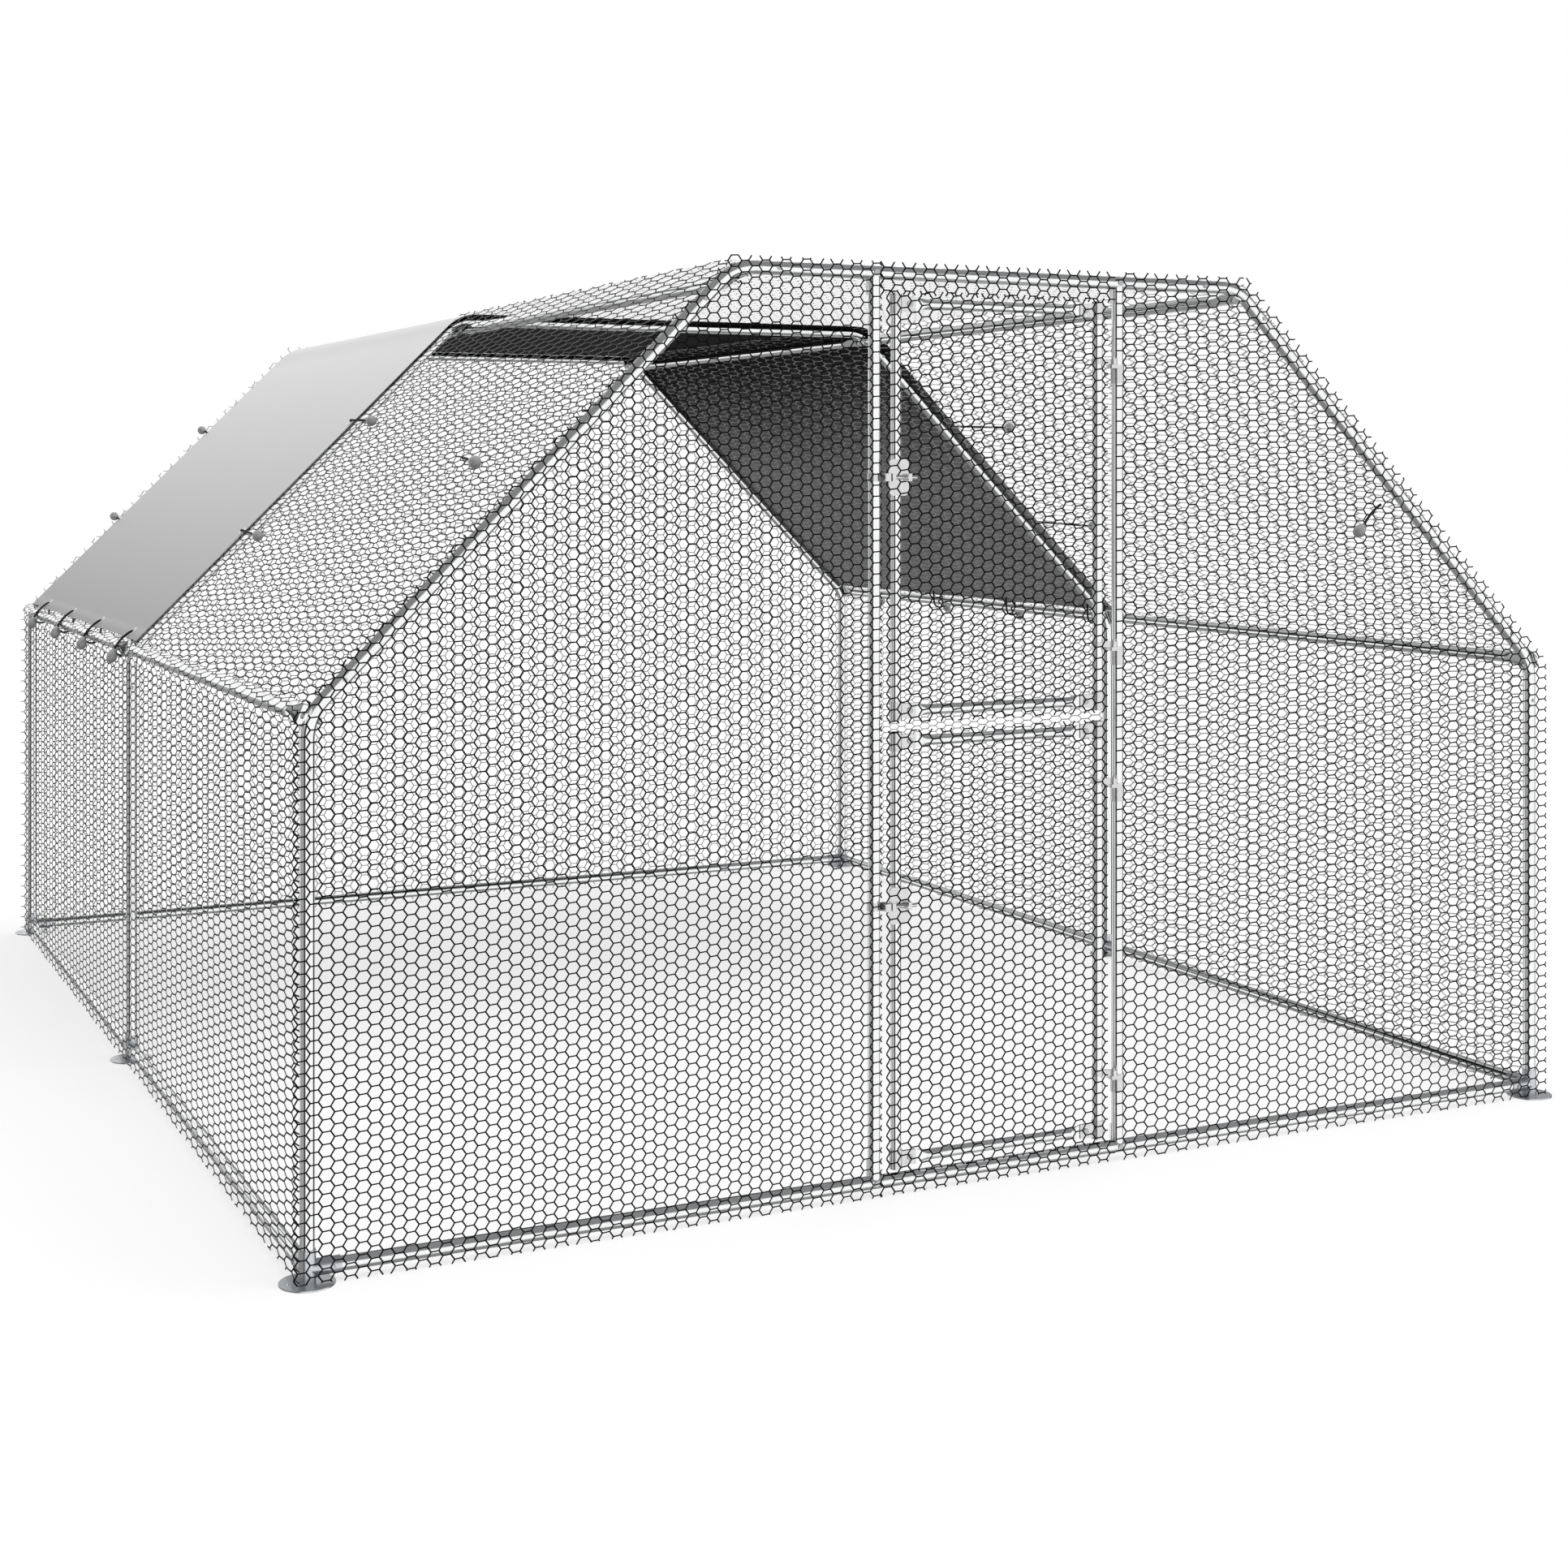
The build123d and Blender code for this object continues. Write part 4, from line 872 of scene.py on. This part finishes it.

# %% [markdown]
# The cloth's two faces share one weave group: fine crossing threads for the relief and a slow
# cloud for the tone. A picture of a weave would do from afar, but this one stays sharp at any
# distance. The pattern reads the cloth's own UV map, which is laid out in metres, so the threads
# follow the roof's bends. The place across the roof is an output of its own, and each face
# paints light and shade along it.

# %% Weave group
weave_inputs = {"Thread Count": "Float", "Tone Light": "Color", "Tone Dark": "Color"}
weave_outputs = {"Color": "Color", "Height": "Float", "Roughness": "Float", "Roof Share": "Float"}
weave, weave_in, weave_out = new_tree("cloth_weave", "ShaderNodeTree", weave_inputs, weave_outputs)
cloth_uv = add_node(weave, "ShaderNodeUVMap", uv_map="cloth").outputs["UV"]
split_uv = add_node(weave, "ShaderNodeSeparateXYZ", {"Vector": cloth_uv}).outputs
threads = []
for axis in ("X", "Y"):
    wave_at = math_node(weave, "MULTIPLY", split_uv[axis], weave_in["Thread Count"])
    threads.append(math_node(weave, "SINE", math_node(weave, "MULTIPLY", wave_at, 2 * math.pi)))
cloud_inputs = {"Vector": cloth_uv, "Scale": 5.0, "Detail": 6.0, "Roughness": 0.65}
cloud = add_node(weave, "ShaderNodeTexNoise", cloud_inputs).outputs["Fac"]
feed(weave, weave_out["Color"], mix_node(weave, cloud, weave_in["Tone Dark"], weave_in["Tone Light"]))
feed(weave, weave_out["Height"], math_node(weave, "MULTIPLY", *threads))
feed(weave, weave_out["Roughness"], math_node(weave, "MULTIPLY_ADD", cloud, 0.16, 0.5))
feed(weave, weave_out["Roof Share"], math_node(weave, "DIVIDE", split_uv["Y"], cover_run))
print("weave group made")

# %% [markdown]
# The silver face has painted light and shade. It is darker on the sunlit right slope and the top,
# brightest just past the left bend, darker towards the left eave, and lighter again on its very
# edge, where the eave tube and net shade it. The black face has painted shade under the flat top
# and painted light near the eaves. Lamps could be moved until they give that, but they would
# change the metal too, so a ramp of painted light and shade across the roof multiplies the
# weave's colour.

# %% Cloth finishes
threads_per_metre = 420.0


def cloth_finish(name, light, dark, gloss, painted_light_stops):
    """Cloth with painted light and shade over the roof, by stops from the right eave to the left one."""
    material, tree = new_material(name)
    weave_values = {"Thread Count": threads_per_metre, "Tone Light": (*light, 1.0), "Tone Dark": (*dark, 1.0)}
    group = add_node(tree, "ShaderNodeGroup", weave_values, node_tree=weave).outputs
    # painted light and shade: a ramp across the roof that darkens or lightens the weave's colour
    painted_light_tone = ramp_node(tree, group["Roof Share"], painted_light_stops)
    inputs = {
        "Specular IOR Level": gloss,
        "Base Color": mix_node(tree, 1.0, group["Color"], painted_light_tone, blend_type="MULTIPLY"),
        "Roughness": group["Roughness"],
    }
    feed_surface(tree, inputs, group["Height"], bump=0.12, bump_depth=0.0004)
    return material


cover_mesh.materials.append(cloth_finish(
    "cover_outside", (0.95, 0.95, 0.945), (0.89, 0.89, 0.885), gloss=0.5,
    # painted shade on the sunlit right slope and top, painted light past the left bend and on the left eave's
    # edge
    painted_light_stops=[
        (0.0, 0.62), (0.64, 0.62), (0.672, 0.84), (0.7, 0.92),
        (0.85, 0.7), (0.99, 0.48), (0.995, 0.64), (1.0, 0.8),
    ],
))
cover_mesh.materials.append(cloth_finish(
    "cover_inside", (0.5, 0.5, 0.503), (0.42, 0.42, 0.422), gloss=0.02,
    # painted light near the eaves, painted shade under the flat top
    painted_light_stops=[
        (0.0, 1.0), (0.165, 0.9), (0.26, 0.3), (0.315, 0.02),
        (0.685, 0.02), (0.74, 0.3), (0.835, 0.9), (1.0, 1.0),
    ],
))
cover = add_piece("rear_cover_cloth", cover_mesh, "frame", "cover_cloth", ["rear_cover"])
print("cloth finishes:", [finish.name for finish in cover_mesh.materials])

# %% [markdown]
# The eyelets are rolled metal rings. Each could be a torus turned by hand. The tree sets one
# flattened ring on every eyelet point and turns it to the cloth's normal, which the points carry
# as a vector attribute, so all the rings are made in one go.

# %% Eyelet tree
def facing_instances(tree, points, instance):
    """Instances on points, each with its Z axis along the points' vector attribute."""
    lead = {"Vector": named_attribute(tree, "lead", "FLOAT_VECTOR")}
    align = add_node(tree, "FunctionNodeAlignRotationToVector", lead, axis="Z")
    return add_node(tree, "GeometryNodeInstanceOnPoints", {
        "Points": points, "Instance": instance, "Rotation": align.outputs["Rotation"],
    }).outputs["Instances"]


def circle(tree, corners, radius):
    inputs = {"Resolution": corners, "Radius": radius}
    return add_node(tree, "GeometryNodeCurvePrimitiveCircle", inputs).outputs["Curve"]


ring_corners, roll_corners, pressed_flat = 20, 6, 0.6
rings, rings_in, rings_out = new_geometry_tree("eyelet_rings", "Ring Radius", "Roll Radius")
ring = add_node(rings, "GeometryNodeCurveToMesh", {
    "Curve": circle(rings, ring_corners, rings_in["Ring Radius"]),
    "Profile Curve": circle(rings, roll_corners, rings_in["Roll Radius"]),
})
flattened = {"Geometry": ring.outputs["Mesh"], "Scale": (1.0, 1.0, pressed_flat)}
pressed = add_node(rings, "GeometryNodeTransform", flattened).outputs["Geometry"]
close_tree(rings, facing_instances(rings, rings_in["Geometry"], pressed), rings_in, rings_out)
print("eyelet tree with", len(rings.nodes), "nodes")

# %% [markdown]
# There are four eyelets along each eave and two on each slope at either end of the cover. Their
# places could be listed, but they come from the cover's own sizes, and the ties start from the
# same list.

# %% Eyelets
eyelet_inset = 0.023
slope_tie_climbs = [slope_length * (count + 1) / 3 for count in range(2)]
eyelet_height = cover_height + 0.0005
eyelet_sizes = {"Ring Radius": 0.0105, "Roll Radius": 0.0024, "Finish": eyelet_metal}
eyelet_spots = []
for sign in SIDES.values():
    eyelet_spots += [(sign, y, cover_eave_gap + eyelet_inset) for y in eave_tie_ys]
    for climb in slope_tie_climbs:
        eyelet_spots += [(sign, y, climb) for y in (cover_low_y + eyelet_inset, cover_high_y - eyelet_inset)]
eyelet_points = [on_slope(*spot, eyelet_height) for spot in eyelet_spots]
eyelet_leads = [slope_normal(sign) for sign, _, _ in eyelet_spots]
eyelet_mesh = grown_mesh("cover_eyelet_rings", eyelet_points, {"lead": eyelet_leads}, rings, eyelet_sizes)
eyelets = add_piece("cover_eyelet_rings", eyelet_mesh, "frame", "eyelet_metal", ["cover_eyelets"])
print("eyelets:", len(eyelet_points))

# %% [markdown]
# Each tie is an elastic cord with a moulded ball on its end. At the eaves the cord comes up out
# of its eyelet, goes over the eave tube and ends in a ball outside the wall, and its second
# strand goes back in through the net behind the tube. On the slopes it crosses the cover's edge.
# A simulation could find these routes, but a tight cord is nearly straight, so a few points are
# enough. At the eaves they lie on tangents to the tube, so that the cord goes round it and not
# through it.

# %% Tie routes
tie_neck = 0.018
tie_drop = 0.025
ball_stand = 0.0164
net_face = 0.01855
slope_net_face = 0.0143
slope_tie_reach = 0.280
slope_tie_sink = 0.020
slope_tie_rim = 0.017
eave_tube = Vector((1.4942, 0.0, 1.0494))
eave_wrap = tube_r + 0.0033
mouth_height, crest_height = 0.0162, 0.0220
return_bends = ((0.012, 0.003, -0.026), (-0.02, 0.004, -0.02), (-0.026, 0.002, 0.01))


def eave_tie(sign, y, climb):
    """Cord points over the eave tube and of the return strand, the ball's centre and its lead."""
    eave = Vector((sign * eave_tube.x, y, eave_tube.z))
    ball = Vector((sign * (post_x + net_face + ball_stand), y, eave_tube.z - tie_drop))
    mouth, crest = (on_slope(sign, y, climb, height) for height in (mouth_height, crest_height))
    tangents = []
    for point, turn in ((crest, -1), (ball, 1)):
        way = point - eave
        bearing = math.atan2(way.z, sign * way.x)
        tangents.append(bearing + turn * math.acos(eave_wrap / way.length))
    middle = (tangents[0] + tangents[1]) / 2
    reach_out = eave_wrap / math.cos((tangents[0] - tangents[1]) / 2)
    corner = eave + Vector((sign * math.cos(middle), 0.0, math.sin(middle))) * reach_out
    away = (ball - corner).normalized()
    neck = ball - away * tie_neck
    back = [eave + Vector((sign * out, along, up)) for out, along, up in return_bends]
    return [[mouth, crest, corner, neck], [neck, *back, mouth]], ball, away


def slope_tie(sign, y, climb):
    """Cord points across the cover's edge, the ball's centre and its lead."""
    if y < bay / 2:
        way = Vector((0.0, -1.0, 0.0))
        reach_out, sink = slope_tie_reach, slope_tie_sink
    else:
        way = Vector((0.0, 1.0, 0.0))
        reach_out, sink = bay + net_face + ball_stand - y, 0.0
    mouth, crest = (on_slope(sign, y, climb, height) for height in (mouth_height, crest_height))
    rim_point = crest + way * slope_tie_rim
    ball = on_slope(sign, y, climb - sink, slope_net_face + ball_stand) + way * reach_out
    away = (ball - rim_point).normalized()
    return [[mouth, crest, rim_point, ball - away * tie_neck]], ball, away


ties = []
for sign, y, climb in eyelet_spots:
    ties.append((eave_tie if climb < slope_length / 4 else slope_tie)(sign, y, climb))
print("ties:", len(ties))

# %% [markdown]
# The cords are dull black rubber, and the balls are grey moulded plastic with some gloss. Plain
# colours would look flat, so both have a slow cloud between two tones, which is also a faint
# relief.

# %% Rubber and plastic finishes
def plain_finish(name, light, dark, roughness, scale, coat=0.0):
    """A moulded finish: a slow cloud between two tones, which is also the relief."""
    material, tree = new_material(name)
    place = add_node(tree, "ShaderNodeTexCoord").outputs["Object"]
    cloud_inputs = {"Vector": place, "Scale": scale, "Detail": 4.0}
    cloud = add_node(tree, "ShaderNodeTexNoise", cloud_inputs).outputs["Fac"]
    colour = ramp_node(tree, cloud, [(0.3, dark), (0.7, light)])
    inputs = {"Base Color": colour, "Roughness": roughness, "Coat Weight": coat}
    feed_surface(tree, inputs, cloud, bump=0.08, bump_depth=0.0003)
    return material


cord_rubber = plain_finish("cord_rubber", (0.016, 0.016, 0.017), (0.007, 0.007, 0.008), 0.8, 300.0)
ball_plastic = plain_finish("ball_plastic", (0.42, 0.425, 0.43), (0.3, 0.305, 0.31), 0.3, 60.0, coat=0.5)
print("moulded finishes:", cord_rubber.name, ball_plastic.name)

# %% [markdown]
# A cord could be cylinders set end to end, but their joints would show. A NURBS curve with a
# round bevel is smooth with only a few points. All the cords that are tied become one mesh, in
# place of the CAD model's cords.

# %% Tie cords
tie_r = 0.003


def cord_curve(name, routes):
    """A curve with one smooth round cord along every route."""
    data = bpy.data.curves.new(name, "CURVE")
    data.dimensions = "3D"
    data.bevel_depth = tie_r
    data.bevel_resolution = 2
    data.resolution_u = 8
    data.use_fill_caps = True
    for route in routes:
        spline = data.splines.new("NURBS")
        spline.points.add(len(route) - 1)
        for point, place in zip(spline.points, route):
            point.co = (*place, 1.0)
        spline.order_u = 3
        spline.use_endpoint_u = True
    data.materials.append(cord_rubber)
    return data


routes = [route for tie_routes, _, _ in ties for route in tie_routes]
holder = bpy.data.objects.new("tie_cords_holder", cord_curve("tie_cords_elastic", routes))
bpy.context.scene.collection.objects.link(holder)
cord_mesh = bpy.data.meshes.new_from_object(holder.evaluated_get(bpy.context.evaluated_depsgraph_get()))
bpy.data.objects.remove(holder)
cord_mesh.polygons.foreach_set("use_smooth", [True] * len(cord_mesh.polygons))
add_piece("tie_cords_elastic", cord_mesh, "frame", "cord_rubber", ["tie_cords"])
print("tie cords:", len(routes), "strands,", len(cord_mesh.polygons), "faces")

# %% [markdown]
# Two spare ties are kept on the nets, hooked over a strand, one on the front beside the door and
# one on the left slope. They could be part of the mesh of tied cords, but they hang free, so each
# is a curve of its own, laid out to the cord's length.

# %% Spare ties
hook_stand = 0.0049
front_lean, roof_lean = math.radians(40), math.radians(9)
up_left_slope = Vector((math.sqrt(0.5), 0.0, math.sqrt(0.5)))


def spare_tie(knot, along, outward, length, bow):
    """Cord points from a hook on a strand to a ball's neck, the ball's centre and its lead."""
    hook = knot + outward * hook_stand
    ball = knot + along * (length + tie_neck) + outward * ball_stand
    away = (ball - hook).normalized()
    neck = ball - away * tie_neck
    return [hook, hook.lerp(neck, 0.5) + bow, neck], ball, away


spare_ties = {
    "front_spare": spare_tie(
        knot=Vector((1.012, -bay - net_face, 1.425)),
        along=Vector((-math.cos(front_lean), 0.0, -math.sin(front_lean))),
        outward=Vector((0.0, -1.0, 0.0)),
        length=0.076,
        bow=Vector((-0.006, -0.002, 0.008)),
    ),
    "roof_spare": spare_tie(
        knot=on_slope(-1.0, y=-1.316, climb=0.665, height=slope_net_face),
        along=Vector((0.0, -math.cos(roof_lean), 0.0)) - up_left_slope * math.sin(roof_lean),
        outward=slope_normal(-1.0),
        length=0.15,
        bow=slope_normal(-1.0) * 0.004,
    ),
}
for name, (route, _, _) in spare_ties.items():
    curve = cord_curve(f"{name}_cord", [route])
    add_piece(f"{name}_cord", curve, "frame", "cord_rubber", ["tie_cords"])

# %% [markdown]
# The balls are shaped like eggs, with the narrow end on the cord. A sphere that is only stretched
# would be the same at both ends, so the tree also narrows it along its length, before it sets one
# on every ball's point.

# %% Tie balls
balls, balls_in, balls_out = new_geometry_tree("tie_balls", "Half Width", "Half Length")
egg = add_node(balls, "GeometryNodeMeshUVSphere", {"Segments": 20, "Rings": 12})
here = add_node(balls, "GeometryNodeInputPosition").outputs["Position"]
split = add_node(balls, "ShaderNodeSeparateXYZ", {"Vector": here}).outputs
egg_taper = 0.22
taper = math_node(balls, "MULTIPLY_ADD", split["Z"], -egg_taper, 1.0)
waist = math_node(balls, "MULTIPLY", taper, balls_in["Half Width"])
sizes = {"X": waist, "Y": waist, "Z": balls_in["Half Length"]}
spread = {axis: math_node(balls, "MULTIPLY", split[axis], size) for axis, size in sizes.items()}
shaped = add_node(balls, "GeometryNodeSetPosition", {
    "Geometry": egg.outputs["Mesh"],
    "Position": add_node(balls, "ShaderNodeCombineXYZ", spread).outputs["Vector"],
}).outputs["Geometry"]
close_tree(balls, facing_instances(balls, balls_in["Geometry"], shaped), balls_in, balls_out)
ball_sizes = {"Half Width": 0.0134, "Half Length": 0.0190, "Finish": ball_plastic}
ball_setback = 0.003


def add_balls(name, pairs, replaces=()):
    """A piece with one ball at every centre, its narrow end on the cord."""
    centres = [ball - away * ball_setback for ball, away in pairs]
    mesh = grown_mesh(name, centres, {"lead": [-away for _, away in pairs]}, balls, ball_sizes)
    return add_piece(name, mesh, "frame", "ball_plastic", replaces)


add_balls("tie_balls_moulded", [(ball, away) for _, ball, away in ties], ["tie_balls"])
for name, (route, ball, away) in spare_ties.items():
    spare_ball = add_balls(f"{name}_ball", [(ball, away)])
